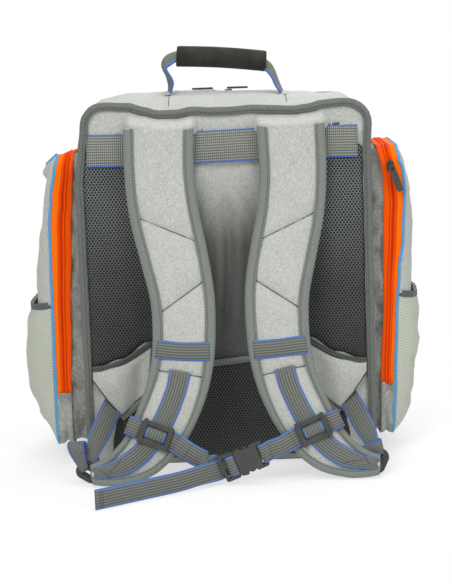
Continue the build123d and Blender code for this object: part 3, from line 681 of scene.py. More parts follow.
def sweep(name, line, ups, section, material, body, replaces=(), closed=False, widths=None):
    """Carries a section along a line. ups is the strip's face normal, one for all or one for each point."""
    count, n = len(line), len(section)
    ups = [ups] * count if isinstance(ups, Vector) else ups
    half = max(abs(a) for a, b in section)
    points, routes = [], []
    for i, (p, length) in enumerate(zip(line, along_of(line))):
        before = line[i - 1] if i or closed else line[0]
        after = line[(i + 1) % count] if i + 1 < count or closed else line[-1]
        across, up = axes_at((after - before).normalized(), ups[i])
        wide = widths[i] if widths else 1.0
        points += [p + across * a * wide + up * b for a, b in section]
        routes += [(length, a, half) for a, b in section]
    faces = quads(count, n, wrap=True)
    last = (count - 1) * n
    if closed:
        faces += [(last + c, last + (c + 1) % n, (c + 1) % n, c) for c in range(n)]
    else:
        faces += [tuple(reversed(range(n))), tuple(range(last, last + n))]
    return attach(new_piece(name, points, faces, material, routes), body, replaces)


def webbing(name, line, ups, width, thick, body, replaces=(), material=None, widths=None):
    return sweep(name, line, ups, flat_section(width, thick), material or WEBBING, body, replaces, widths=widths)


def blocks(name, frames, size, material, body, taper=0.8, slot=None):
    """One mesh of many small bevelled blocks. frames are (centre, along, across, up)."""
    points, faces = [], []
    la, lc, lu = (s / 2 for s in size)
    for centre, along, across, up in frames:
        start = len(points)
        for level, grow in ((-lu, 1.0), (lu * 0.5, 1.0), (lu, taper)):
            for a, c in ((-1, -1), (1, -1), (1, 1), (-1, 1)):
                points.append(centre + along * a * la * grow + across * c * lc * grow + up * level)
        faces += quads(3, 4, wrap=True, start=start)
        faces += [(start + 3, start + 2, start + 1, start), (start + 8, start + 9, start + 10, start + 11)]
    attach(new_piece(name, points, faces, material, smooth=False, slot=slot), body)


def frames_along(line, ups, pitch, begin, lift=0.0):
    """Evenly spaced frames down a line: (centre, along, across, up)."""
    ups = [ups] * len(line) if isinstance(ups, Vector) else ups
    lengths = along_of(line)
    frames = []
    s = begin
    while s <= lengths[-1]:
        centre, i = at_length(line, lengths, s)
        tangent = (line[i + 1] - line[i]).normalized()
        across, up = axes_at(tangent, ups[i])
        frames.append((centre + up * lift, tangent, across, up))
        s += pitch
    return frames


STITCH = 3.4  # from one stitch to the next
QUARTERS = (0, 0.25, 0.5, 0.75, 1.0)


def stitches(name, line, ups, body):
    blocks(name, frames_along(line, ups, STITCH, STITCH / 2), (2.4, 0.7, 0.5), THREAD, body, taper=0.6)


# ------------------------------------------------------------------ the bag's outline
def clip(line, limit, keep):
    """Cuts an outline at a height and keeps the part above it (keep 1) or below it (keep -1)."""
    kept = []
    for a, b in zip(line, line[1:]):
        a_in, b_in = (a[1] - limit) * keep >= 0, (b[1] - limit) * keep >= 0
        if a_in and (not kept or kept[-1] != a):
            kept.append(a)
        if a_in != b_in:
            t = (limit - a[1]) / (b[1] - a[1])
            kept.append(tuple(p + (q - p) * t for p, q in zip(a, b)))
    if (line[-1][1] - limit) * keep >= 0:
        kept.append(line[-1])
    return kept


def bag_outline(inset=0.0, step=9.0, above=None, below=None):
    """Round the bag from the middle of its base up the left side, over the top and down the right: (x, z, nx, nz)."""
    foot, top = FOOT_RADIUS - inset, TOP_RADIUS - inset
    foot_x, top_x, top_z = HALF_WIDTH - FOOT_RADIUS, HALF_WIDTH - TOP_RADIUS, BAG_TOP - TOP_RADIUS
    corners = [(-foot_x, FOOT_RADIUS, foot, 270), (-top_x, top_z, top, 180),
               (top_x, top_z, top, 90), (foot_x, FOOT_RADIUS, foot, 0)]
    line = []

    def run(a, b, normal):
        count = max(1, round(hypot(b[0] - a[0], b[1] - a[1]) / step))
        for k in range(count):
            t = k / count
            line.append((a[0] + (b[0] - a[0]) * t, a[1] + (b[1] - a[1]) * t, *normal))

    here = (0.0, inset)
    for cx, cz, radius, begin in corners:
        turns = [radians(begin - 90 * k / 7) for k in range(8)]
        arc = [(cx + radius * cos(a), cz + radius * sin(a), cos(a), sin(a)) for a in turns]
        run(here, arc[0], arc[0][2:])
        line += arc[:7]
        here = arc[7]
    run(here, (0.0, inset), (0, -1))
    line.append((0.0, inset, 0, -1))
    if above is not None:
        line = clip(line, above, 1)
    if below is not None:
        line = clip(line, below, -1)
    return line


# How far the top edge stands over its tidy line, by place across: at the wearer's side, and along the top's middle.
TOP_WAVE = [(-172, 0), (-150, 2), (-139, 3), (-111, 2), (-94, -3), (-74, -8), (-52, -8), (-35, -5), (-13, -7),
            (9, -6.5), (41, -5.5), (63, -7), (85, -8.5), (102, -6.5), (118, -2.5), (140, -1), (157, 0), (172, 0)]
TOP_CROWN = [(-172, -1), (-158, 2), (-142, 6.5), (-126, 11), (-111, 13.5), (-74, 14.5), (-25, 14.5), (25, 12.5),
             (60, 10.5), (100, 8), (130, 4.5), (148, 1.5), (164, 0), (172, 0)]
# The filled bag's top corners lean in or out by height, most at the wearer's side.
CORNER_LEAN = {-1: [(340, 0), (385, 5), (408, 8.5), (428, 5), (434, 2)], 1: [(380, 0), (419, 2), (434, 1)]}
HANDLE_FEET = {"left": -63.5, "right": 77.5}
TOP_DEPTH = 60  # how far down from the top its waves reach


def settle(x, y, z):
    """How far the filled bag's fabric stands from its tidy outline at a point: (dx, 0, dz)."""
    lean = table(CORNER_LEAN[-1 if x < 0 else 1], z) * (min(1.0, abs(x) / HALF_WIDTH)) ** 2
    lean *= max(0.0, 1 - (y - BACK_Y) / 110)
    if z < BAG_TOP - TOP_DEPTH:
        return Vector((lean, 0, 0))
    near_back = max(0.0, 1 - (y - BACK_Y) / 45) ** 2
    shift = table(TOP_WAVE, x) * near_back - 6.0 * fade(y, 84, FRONT_Y - 2)
    mid = (y - BACK_Y) / (TAPE_MEET_Y - 16 - BACK_Y)
    if 0 < mid < 1:
        shift += table(TOP_CROWN, x) * (sin(pi * mid**1.5)) * 0.95
        shift += 3.4 * fade(abs(x), 128, 150) * bell(y, 40, 15)
        for foot in HANDLE_FEET.values():
            shift -= 4.0 * bell(hypot(x - foot, (y - HANDLE_Y) * 0.8), 0, 13)
    return Vector((lean, 0, shift * (z - (BAG_TOP - TOP_DEPTH)) / TOP_DEPTH))


def shell_point(x, z, nx, nz, y, puff):
    out = crumple((x, y, z), 55, 3) * puff + crumple((x, y, z), 19, 5) * puff * 0.35
    return Vector((x + nx * out, y, z + nz * out)) + settle(x, y, z)


CLOTH = 4.4  # thickness of the foam-backed cloth
EDGE_INSET = 2.4  # how far inside the outline the middle of that cloth runs


def shell(name, y_from, y_to, line, body, replaces, count, puff, material=None):
    """Cloth round the bag between two places along Y. It puffs out least at its two edges."""
    def row(r):
        ease = min(1.0, 4 * min(r, count - 1 - r) / (count - 1) + 0.15)
        return [shell_point(*column, y_from + (y_to - y_from) * r / (count - 1), puff * ease) for column in line]

    sheet(name, [row(r) for r in range(count)], material or HEATHER, CLOTH, body, replaces)


shell("bag_shell", BACK_Y + 1, TAPE_MEET_Y - 1, bag_outline(EDGE_INSET, above=FOOT_RADIUS), "bag",
      ["top_panel", "side_panels"], 26, 1.6)
shell("bag_base", BACK_Y + 1, FRONT_Y - 3, bag_outline(3.2, below=FOOT_RADIUS), "bag", ["base_panel"], 24, 0.7, BASE)
kick_line = clip(bag_outline(EDGE_INSET, above=FOOT_RADIUS, step=6), HINGE_Z - 1, -1)
for side_name, side in SIDES.items():
    part = [p for p in kick_line if p[0] * side > 0]
    rows = [[shell_point(*column, TAPE_MEET_Y - 1 + (FRONT_Y - 2 - TAPE_MEET_Y) * r / 6, 0.8) for column in part]
            for r in range(7)]
    sheet(f"kick_side_{side_name}", rows, HEATHER, CLOTH, "bag", ["kick_panel"])


PLATE_INSET = 2


def plate_edge(z):
    """Half the width of a panel inside the bag's outline at a height."""
    half = HALF_WIDTH - PLATE_INSET
    for radius, past in ((FOOT_RADIUS, FOOT_RADIUS - z), (TOP_RADIUS, z - (BAG_TOP - TOP_RADIUS))):
        if past > 0:
            r = radius - PLATE_INSET
            return half - r + (r * r - min(r, past) ** 2) ** 0.5
    return half


def panel(name, low, high, y, sag, thickness, body, replaces, material=None, columns=60, step=6.0, facing=1):
    """An upright panel of the bag's outline between two heights, standing proud by sag(x, z)."""
    count = max(2, round((high - low) / step)) + 1
    heights = [low + (high - low) * r / (count - 1) for r in range(count)]
    if high > BAG_TOP - TOP_RADIUS:
        heights = [z for z in heights if z < BAG_TOP - TOP_RADIUS]
        heights += [BAG_TOP - TOP_RADIUS + (TOP_RADIUS - PLATE_INSET) * sin(pi / 2 * k / 8) for k in range(9)]
    if low < FOOT_RADIUS:
        heights = [z for z in heights if z > FOOT_RADIUS]
        rounded = [FOOT_RADIUS - (FOOT_RADIUS - PLATE_INSET) * sin(pi / 2 * k / 6) for k in range(6, -1, -1)]
        heights = rounded + heights
    rows = []
    for z in heights:
        half = plate_edge(z)
        xs = [-half + 2 * half * c / (columns - 1) for c in range(columns)]
        rows.append([Vector((x, y + facing * sag(x, z), z)) + settle(x, y, z) for x in xs])
    return sheet(name, rows, material or HEATHER, thickness, body, replaces)


# The middle and half width of each strap's root, which the back panel swells out to meet.
STRAP_ROOTS = {-1: (77.0, 40.0), 1: (78.5, 38.5)}


def back_sag(x, z):
    """The back panel is pushed in between the pads by what it carries, and folds run down its middle."""
    spot = (x, 0, z)
    centre = 1 - fade(abs(x - STRAP_X), 24, 44)
    middle = fade(z, 146, 185) * (1 - fade(z, 352, 372))
    low = fade(345 - z, 0, 95)
    groove_x = 5 - 5 * fade(345 - z, 0, 150) + 3 * sin(z / 31)
    groove = -5.4 * bell(x, groove_x, 4 + 3 * low)
    ridges = 4.6 * bell(x, groove_x - 12, 6.0) + 4.0 * bell(x, groove_x + 13, 6.5)
    drape = 2.8 * sin((abs(x - groove_x) * 0.9 + z * 0.62 + 5 * crumple(spot, 60, 12)) / 6.4)
    drape *= (1 - low) * fade(z, 250, 330)
    hollow = 2.8 * low
    edge = min(1.0, (HALF_WIDTH - abs(x)) / 14, (BAG_TOP - z) / 14, z / 14)
    top = (1.8 * crumple(spot, 34, 2) + 0.8 * crumple(spot, 12, 6)) * fade(z, 386, 404)
    roots = 0.0
    for side, (middle_x, half) in STRAP_ROOTS.items():
        across = 1 - fade(abs(x - STRAP_X - side * middle_x), half - 5, half + 7)
        roots = max(roots, across * fade(z, 400, 410) * (1 - fade(z, 408, 428)))
    relief = (hollow + (groove + ridges) * low + drape) * centre * middle
    wrinkles = top * (1 - roots) + 0.7 * crumple(spot, 40, 9)
    # No fold goes in as far as the frame sheet's inner face.
    return max(-1.0, edge * (relief + wrinkles) + 21.0 * roots)


def front_sag(x, z):
    edge = min(1.0, (HALF_WIDTH - abs(x)) / 30, (BAG_TOP - z) / 30, (z - HINGE_Z + 8) / 30)
    return max(0.0, edge) ** 0.6 * (2.6 + 1.6 * crumple((x, 3, z), 60, 4))


def kick_sag(x, z):
    return 1.2 * crumple((x, 5, z), 40, 6)


back_panel = panel("back_panel_cloth", 3, BAG_TOP - 1, BACK_Y + 2.6, back_sag, 4.6, "bag", ["back_panel"], HEATHER_BACK,
                   columns=150, step=3, facing=-1)
panel("front_panel_cloth", HINGE_Z + 1, BAG_TOP - 1, FRONT_Y - 2.6, front_sag, CLOTH, "door", ["front_panel"])
panel("kick_front", 2.5, HINGE_Z - 1, FRONT_Y - 2.6, kick_sag, CLOTH, "bag", ["kick_panel"])
shell("front_gusset_cloth", TAPE_MEET_Y + 1, FRONT_Y - 2, bag_outline(EDGE_INSET, above=HINGE_Z + 1), "door",
      ["front_gusset"], 8, 0.9)


def round_bag(inset, y, above=None, wave=1.0):
    """A line round the bag at this inset and place along Y, and the outward directions along it."""
    line, outs = [], []
    for x, z, nx, nz in bag_outline(inset, step=7.0, above=above):
        line.append(Vector((x, y, z)) + settle(x, y, z) * wave)
        outs.append(Vector((nx, 0, nz)).normalized())
    return line, outs


# Dark binding folded over the seam round the back panel.
line, outs = round_bag(0.6, BACK_Y - 1.0, above=6.0)
ups = [(out * 0.45 + TO_WEARER).normalized() for out in outs]
line = [p + out * 0.8 * crumple(p, 30, 11) for p, out in zip(line, outs)]
sweep("back_binding", line, ups, oval_section(10.6, 6.2), EDGE_BINDING, "bag", ["back_piping"])

# Blue piping round the door, carried on round the lower front.
PIPE = oval_section(4.4, 4.4, 10)
line, outs = round_bag(-0.9, FRONT_Y - 0.4, above=HINGE_Z + 2)
sweep("door_piping", line, outs, PIPE, PIPING, "door", ["front_piping"])
line, outs = round_bag(-0.9, FRONT_Y - 0.4, wave=0)
for side_name, side in SIDES.items():
    lower = [(p, out) for p, out in zip(line, outs) if 2 < p.z < HINGE_Z - 1 and p.x * side > 0]
    sweep(f"kick_piping_{side_name}", [p for p, _ in lower], [out for _, out in lower], PIPE, PIPING, "bag")

# Main zip: two tapes, each with a raised coil and its teeth, one on the bag and one on the door.
ZIP_PITCH = 2.8
for tape_name, way, body in (("main_zip_inner_tape", -1, "bag"), ("main_zip_outer_tape", 1, "door")):
    line, outs = round_bag(-0.7, TAPE_MEET_Y + way * 6.6, above=HINGE_Z + 1, wave=0)
    sweep(f"{tape_name}_cloth", line, outs, flat_section(12.2, 1.3), GREY_TAPE, body, [tape_name])
    line, outs = round_bag(-1.2, TAPE_MEET_Y + way * 2.3, above=HINGE_Z + 2, wave=0)
    sweep(f"{tape_name}_coil", line, outs, oval_section(2.8, 1.4, 8), GREY_CHAIN, body)
    line, outs = round_bag(-1.4, TAPE_MEET_Y + way * 0.7, above=HINGE_Z + 2, wave=0)
    teeth = frames_along(line, outs, ZIP_PITCH, (ZIP_PITCH + way * ZIP_PITCH / 2) / 2)
    blocks(f"{tape_name}_teeth", teeth, (1.1, 1.9, 1.2), GREY_CHAIN, body)


# ------------------------------------------------------------------ front pocket on the door
def rounded_ring(half_a, half_b, radius, count=12, runs=8):
    """A closed rounded rectangle about the origin: (a, b) points that go round the same way at any size."""
    ring = []
    radius = max(0.5, min(radius, half_a, half_b))
    signs = ((1, 1), (-1, 1), (-1, -1), (1, -1))
    for k, (sa, sb) in enumerate(signs):
        def on_arc(sa, sb, degrees):
            angle = radians(degrees)
            return sa * (half_a - radius) + radius * cos(angle), sb * (half_b - radius) + radius * sin(angle)

        ring += [on_arc(sa, sb, 90 * k + 90 * j / count) for j in range(count + 1)]
        end, after = ring[-1], on_arc(*signs[(k + 1) % 4], 90 * (k + 1))
        for j in range(1, runs):
            t = j / runs
            ring.append((end[0] + (after[0] - end[0]) * t, end[1] + (after[1] - end[1]) * t))
    return ring


pocket_low, pocket_high = box_mm("front_pocket")
DOOR_POCKET_HALF_X = pocket_high.x
DOOR_POCKET_MID_Z = (pocket_low.z + pocket_high.z) / 2
DOOR_POCKET_HALF_Z = (pocket_high.z - pocket_low.z) / 2
# How far in from the pocket's outline its cloth is at each distance out from the door.
POCKET_STEPS = ((0, 0), (1, 8), (3, 16), (6, 24), (10, 29), (18, 32), (32, 33.5), (55, 34.5), (80, 35), (100, 35))
rows = []
for inset, out in POCKET_STEPS:
    row = []
    for a, b in rounded_ring(DOOR_POCKET_HALF_X - inset, DOOR_POCKET_HALF_Z - inset, 26 - min(inset, 16) * 0.6):
        p = Vector((a, FRONT_Y + 0.5 + out, DOOR_POCKET_MID_Z + b))
        belly = 1 + 0.06 * sin(pi * (0.5 - b / DOOR_POCKET_HALF_Z / 2))
        p.y = FRONT_Y + 0.5 + out * belly + 1.1 * crumple(p, 42, 8) * min(1, out / 16)
        p.z += 1.2 * crumple(p, 30, 13) * min(1, out / 20)
        row.append(p)
    rows.append(row)
count = len(rows[0])
cap = tuple(range((len(rows) - 1) * count, len(rows) * count))
pocket = new_piece("front_pocket_cloth", flat(rows), quads(len(rows), count, wrap=True) + [cap], HEATHER)
thicken(pocket, 2.2, -1.0)
attach(pocket, "door", ["front_pocket"])

# Its zip runs along the mouth, which slopes down towards the front.
MOUTH_SLOPE = 8 / 33
mouth_half = int(box_mm("front_pocket_zip")[1].x - 6)
mouth_up = Vector((0, MOUTH_SLOPE, 1)).normalized()
mouth_across = Vector((1, 0, 0)).cross(mouth_up)
mouth_mid = Vector((0, FRONT_Y + 15, pocket_high.z - 15 * MOUTH_SLOPE)) + mouth_up * 0.9
for word, way in (("inner", -1), ("outer", 1)):
    line = [mouth_mid + Vector((x, 0, 0)) - mouth_across * way * 6.2 for x in range(-mouth_half, mouth_half + 1, 6)]
    sweep(f"front_pocket_tape_{word}", line, mouth_up, flat_section(11.8, 1.4), GREY_TAPE, "door", ["front_pocket_zip"])
    line = [p + mouth_across * way * 3.9 + mouth_up * 0.7 for p in line]
    sweep(f"front_pocket_coil_{word}", line, mouth_up, oval_section(2.6, 1.2, 8), GREY_CHAIN, "door")
    line = [p + mouth_across * way * 1.7 for p in line]
    teeth = frames_along(line, mouth_up, ZIP_PITCH, (ZIP_PITCH + way * ZIP_PITCH / 2) / 2)
    blocks(f"front_pocket_teeth_{word}", teeth, (1.1, 1.8, 1.0), GREY_CHAIN, "door")
line, ups = [], []
for a, b in rounded_ring(DOOR_POCKET_HALF_X - 7, DOOR_POCKET_HALF_Z - 7, 24):
    ups.append(Vector((a / DOOR_POCKET_HALF_X, 1.0, b / DOOR_POCKET_HALF_Z)).normalized())
    line.append(Vector((a, FRONT_Y + 28.5, DOOR_POCKET_MID_Z + b)) + ups[-1] * 1.5)
sweep("front_pocket_piping", line, ups, oval_section(4.0, 4.0, 10), PIPING, "door", closed=True)


# ------------------------------------------------------------------ back panel pads, wings and webbing
def trim_off(u, v, power_u, power_v):
    """1 in the middle of a pad and 0 at its rim."""
    return (1 - abs(2 * u - 1) ** power_u) * (1 - abs(2 * v - 1) ** power_v)


AIR_PAD_FOOT = [(38, 157), (70, 156), (98, 152), (130, 133), (165, 122)]  # distance from the middle, height
for side_name, side in SIDES.items():
    def air_pad(u, v):
        inner = 38.5 + (4.5 * fade(table(AIR_PAD_FOOT, 38.5) + 232 * v, 290, 320) if side > 0 else 0)
        x = inner + (166 - inner) * u
        foot, top = table(AIR_PAD_FOOT, x), 389 - 9 * fade(u, 0.9, 1.0)
        z = foot + (top - foot) * v
        proud = 0.4 + 3.5 * max(0.0, trim_off(u, v, 10, 16)) ** 0.5 + 0.25 * crumple((x, side, z), 30, 17)
        return Vector((side * x, BACK_Y - proud, z))

    front = grid(34, 56, air_pad)
    pillow(f"air_pad_{side_name}", front, laid_flat(front, BACK_Y + 0.6), MESH, "bag", ["air_pads"])

LUMBAR_HALF = [(6, 147), (30, 144), (52, 140), (66, 133), (88, 112), (104, 99), (126, 92)]  # height, half width


def lumbar_pad(u, v):
    z = 8 + 118 * v
    half = table(LUMBAR_HALF, z)
    x = -half + 2 * half * u
    trim = trim_off(u, v, 14, 14)
    return Vector((x, BACK_Y - 0.3 - 3.4 * max(0.0, trim) ** 0.5 - 0.25 * crumple((x, 0, z), 26, 21) * trim, z))


front = grid(60, 40, lumbar_pad)
pillow("lumbar_pad_mesh", front, laid_flat(front, BACK_Y + 0.6), MESH, "bag", ["lumbar_pad"])

# The wings' top edge, and their hem in three runs that meet at corners: (distance from the middle, height).
WING_TOP = ((165, 121), (148, 123), (127, 130), (108, 141), (93, 151))
WING_HEM = ((165, 108), (148, 83)), ((148, 83), (132, 66)), ((132, 66), (118, 77), (99, 92))


def wing(side):
    """The fabric wing at one lower corner. It is fixed along its top and outer edges, and loose at its hem."""
    def edge(points):
        return through([(side * x, z) for x, z in points], 4)

    top, hem = edge(WING_TOP), edge(WING_HEM[0])[:-1] + edge(WING_HEM[1])[:-1] + edge(WING_HEM[2])
    top_along, hem_along = along_of(top), along_of(hem)
    corner = Vector((side * 134, 72))

    def point(u, v):
        p = at_length(top, top_along, u * top_along[-1])[0].lerp(at_length(hem, hem_along, u * hem_along[-1])[0], v)
        loose = fade(v, 0, 0.2)
        gap = (p - corner).length
        pucker = 2.2 * sin(gap / 5.5 + 3 * u) * fade(60 - gap, 0, 45) * fade(v, 0.0, 0.4)
        crest = 9.0 * bell(u, 0.36 + 0.15 * v, 0.26) * max(0.0, sin(pi * (0.02 + 0.86 * v))) ** 0.7
        valley = (4.4 if side < 0 else 2.2) * bell(u, 0.82, 0.12) * fade(v, 0.05, 0.35)
        lift = 3.2 + 1.6 * loose + crest - valley + (pucker * 0.4 + 0.7 * crumple((p.x, 1, p.y), 22, 31)) * loose
        return Vector((p.x, BACK_Y - 1.5 - max(1.2, lift), p.y))

    return grid(30, 16, point)


LUMBAR_EDGE = ((133, 60), (118, 72), (100, 86), (84, 99), (60, 112))
for side_name, side in SIDES.items():
    front = wing(side)
    pillow(f"lumbar_wing_{side_name}", front, laid_flat(front, BACK_Y - 0.4), HEATHER, "bag", ["lumbar_band"])
    # The dark lines under the binding and along the loose hem are partly stitching and partly painted shadow where the
    # binding and the hem stand off the cloth.
    for name, edge, shift, section, material in (
            ("wing_binding", front[0], (0, -0.9, 1.2), oval_section(6.2, 3.2), WING_BINDING),
            ("wing_seam", front[0], (0, -1.4, -2.6), oval_section(1.5, 1.3, 8), DARK_THREAD_AND_SHADE),
            ("wing_edge", front[-1][:15], (0, 0.3, 0), oval_section(1.6, 1.6, 8), DARK_THREAD_AND_SHADE)):
        sweep(f"{name}_{side_name}", [p + Vector(shift) for p in edge], TO_WEARER, section, material, "bag")
    line = through([Vector((side * x, BACK_Y - 4.4, z)) for x, z in LUMBAR_EDGE], 5)
    sweep(f"lumbar_edge_{side_name}", line, TO_WEARER, oval_section(7.5, 3.2), BINDING, "bag")

LUMBAR_TOP = ((-98, 118), (-60, 122), (-19, 124.5), (28, 128), (62, 127), (98, 122))
line = through([Vector((x, BACK_Y - 4.2, z)) for x, z in LUMBAR_TOP], 6)
sweep("lumbar_top_binding", line, TO_WEARER, oval_section(8.0, 3.4), BINDING, "bag", ["lumbar_band"])

yoke_low, yoke_high = box_mm("yoke_webbing")
yoke_z = (yoke_low.z + yoke_high.z) / 2
line = []
for x in range(-160, 161, 5):
    bow = 1.2 * (1 - (x / 160) ** 2) + 0.5 * sin(x / 13) * (abs(x) < 40)
    line.append(Vector((x, yoke_low.y + 1.6 - bow, yoke_z + 1.6 * sin(x / 60))))
webbing("yoke_webbing_strip", line, Vector((0, -1, 0.13)).normalized(), yoke_high.z - yoke_low.z, 1.5, "bag",
        ["yoke_webbing"], YOKE)


# ------------------------------------------------------------------ side pockets
gusset_low, gusset_high = box_mm("right_pocket_gusset")
POCKET_BOTTOM, POCKET_TOP = gusset_low.z, gusset_high.z
POCKET_MID_Y = (gusset_low.y + gusset_high.y) / 2
POCKET_MID = (POCKET_BOTTOM + POCKET_TOP) / 2
POCKET_HALF_Y = (gusset_high.y - gusset_low.y) / 2
POCKET_HALF = (POCKET_TOP - POCKET_BOTTOM) / 2
ZIP_END_Z = box_mm("right_pocket_outer_tape")[0].z
MESH_TOP = box_mm("right_mesh_pocket")[1].z
POCKET_RADIUS = 24.0
# How far out the tapes' inner edge, their outer edge and the rim are in the tidy pocket.
TAPES_IN, TAPE_OUT, TAPES_OUT, RIM_OUT = 15.7, 28.5, 41.3, 43.0
# The first, third and last of those lines on the filled pocket, by height: it leans, so they wander.
POCKET_LINES = {
    -1: ([(22, 22), (95, 21.8), (174, 18.6), (294, 12.7), (323, 10), (365, 7.5), (384, 6)],
         [(22, 39.5), (95, 39.7), (175, 39.8), (295, 37.4), (324, 33), (365, 26.5), (389, 21)],
         [(22, 41.8), (47, 41.5), (102, 41), (211, 40), (295, 39), (326, 35.6), (365, 29.5), (384, 26)]),
    1: ([(22, 11), (90, 12.4), (197, 17.6), (281, 18.8), (310, 20), (340, 19.4), (384, 13.5)],
        [(22, 27), (89, 28.7), (160, 31.4), (196, 34), (280, 41.6), (310, 43.6), (339, 40), (384, 36)],
        [(22, 27.4), (38, 27.6), (88, 29.9), (171, 32.7), (226, 36.9), (267, 42.4), (325, 45.4), (348, 43.5),
         (363, 39), (387, 37.7)]),
}
# How far out the middle of the panel and of the mesh sleeve stand, by height.
PANEL_CROWN = {
    -1: [(22, 40), (60, 49), (198, 61), (231, 59), (270, 54), (308, 46.5), (340, 42), (384, 34)],
    1: [(22, 36), (60, 45), (196, 54.5), (253, 55.5), (291, 55.5), (323, 51), (354, 46), (384, 40)],
}
MESH_CROWN = {
    -1: [(24, 43), (37, 50), (64, 64), (97, 75), (130, 78), (165, 74), (201, 66)],
    1: [(24, 33), (43, 41), (90, 56), (136, 61), (172, 62), (190, 60), (201, 57)],
}
# The share of that which is reached at each distance inside the rim.
DOME_SHARE = [(0, 0.0), (3, 0.24), (7, 0.46), (13, 0.68), (21, 0.83), (32, 0.93), (45, 0.98), (58, 1.0)]
SLEEVE_SHARE = [(0, 0.0), (4, 0.3), (10, 0.58), (20, 0.84), (40, 1.0)]


def pocket_ring(inset=0.0):
    """Round the pocket as seen from the side: (y, z, outward y, outward z)."""
    ring = rounded_ring(POCKET_HALF_Y - inset, POCKET_HALF - inset, max(POCKET_RADIUS - inset, 5), count=6, runs=40)
    result = []
    for i, (a, b) in enumerate(ring):
        after = ring[(i + 1) % len(ring)]
        ta, tb = after[0] - ring[i - 1][0], after[1] - ring[i - 1][1]
        length = hypot(ta, tb) or 1.0
        result.append((POCKET_MID_Y + a, POCKET_MID + b, tb / length, -ta / length))
    return result


def ring_part(cut, above):
    """The part of the ring above or below a height, cut off exactly there at both ends."""
    ring = pocket_ring()
    count = len(ring)
    kept = [(r[1] >= cut) == above for r in ring]
    start = next(i for i in range(count) if kept[i] and not kept[i - 1])

    def meet(a, b):
        t = (cut - a[1]) / (b[1] - a[1])
        return tuple(p + (q - p) * t for p, q in zip(a, b))

    part = [meet(ring[start - 1], ring[start])]
    i = start
    while kept[i % count]:
        part.append(ring[i % count])
        i += 1
    part.append(meet(ring[(i - 1) % count], ring[i % count]))
    return part


def pocket_place(side, out, y, z, proud=0.0, ny=0.0, nz=0.0):
    """Where a point of the tidy pocket lies on the filled one."""
    inner, outer, rim = (table(rows, z) for rows in POCKET_LINES[side])
    if out <= TAPES_IN:
        reach = inner * out / TAPES_IN
    elif out <= TAPES_OUT:
        reach = inner + (outer - inner) * (out - TAPES_IN) / (TAPES_OUT - TAPES_IN)
    else:
        reach = outer + (rim - outer) * min(1.0, (out - TAPES_OUT) / (RIM_OUT - TAPES_OUT)) + max(0.0, out - RIM_OUT)
    # The left pocket's top corner at the front hangs open and down.
    slump = fade(z, 325, 380) * fade(y, -92, -20) * (min(out, RIM_OUT) / RIM_OUT) ** 2 if side < 0 else 0.0
    sunk = (5.0 if side < 0 else 8.5) * fade(z, POCKET_TOP - 34, POCKET_TOP)
    return Vector((side * (HALF_WIDTH + reach + 20 * slump), y + ny * proud, z + nz * proud - 17 * slump - sunk))


def inset_at(y, z):
    """How far inside the pocket's rounded outline a point is."""
    qy = abs(y - POCKET_MID_Y) - (POCKET_HALF_Y - POCKET_RADIUS)
    qz = abs(z - POCKET_MID) - (POCKET_HALF - POCKET_RADIUS)
    return POCKET_RADIUS - hypot(max(qy, 0), max(qz, 0)) - min(max(qy, qz), 0)


def dome_point(side, y, z, sleeve=False):
    """A point of the outer panel, or of the mesh sleeve that always lies outside it."""
    inset = inset_at(y, z)
    spot = (side * 200, y, z)
    p = pocket_place(side, RIM_OUT, y, z)
    rim = abs(p.x) - HALF_WIDTH
    crown = max(table(PANEL_CROWN[side], z), rim + 3)
    out = rim + (crown - rim) * table(DOME_SHARE, inset)
    rough = 1.8 * crumple(spot, 34, 60 + side) + 0.7 * crumple(spot, 13, 66 + side)
    if sleeve:
        more = max(3.0, table(MESH_CROWN[side], z) - crown)
        out += 1.6 + more * table(SLEEVE_SHARE, inset)
        folds = sin((y * 0.8 + z * 0.35) / 9 + 3 * crumple(spot, 60, 71)) * fade(130 - z, -40, 60)
        rough += (1.3 * folds + 1.5 * crumple(spot, 24, 70)) * min(1, inset / 14)
        rough += 0.5 * sin(y * 0.42) * fade(z, MESH_TOP - 40, MESH_TOP) * min(1, inset / 10)
    p.x = side * (HALF_WIDTH + out + max(0.0, rough + 1.2) * min(1, inset / 10))
    return p


def gusset_point(side, out, y, z, ny, nz):
    """The gusset on the bag: slack, with folds that run down across it."""
    spot = (out, y, z)
    slack = sin(pi * min(1.0, out / GUSSET_OUT)) ** 0.7
    bend = 10 * crumple(spot, 70, 46 + side)
    fold = sin((z + 0.9 * out + bend) / 8.5) * (0.5 + 0.5 * crumple(spot, 60, 48 + side))
    dent = 2.8 * fold + 3.6 * crumple(spot, 24, 40 + side) + 1.8 * crumple(spot, 10, 44 + side) - 1.6
    return pocket_place(side, out, y, z, slack * dent, ny, nz)


def lower_point(side, out, y, z, ny, nz):
    """The slack lower gusset between the bag and the flap's rim, with a seam where the zip ends."""
    spot = (out, y, z)
    slack = sin(pi * (out - 18) / (RIM_OUT - 18)) ** 0.6 if 18 < out < RIM_OUT else 0.0
    ridge = 1.4 * fade(z, ZIP_END_Z - 9, ZIP_END_Z - 5) * (1 - fade(z, ZIP_END_Z - 3.5, ZIP_END_Z - 2.5))
    crease = bell(out - 31 + 0.1 * z, 0, 4.0) * (1 - fade(z, 46, 66))
    dent = 3.4 * crumple(spot, 22, 50 + side) + 1.5 * crumple(spot, 9, 54 + side) - 0.6 - 3.5 * crease
    return pocket_place(side, out, y, z, slack * dent + 1.4 + ridge, ny, nz)


def tape_point(side, out, y, z, ny, nz):
    return pocket_place(side, out, y, z, 0.9 + 0.35 * crumple((out, y, z), 18, 57), ny, nz)


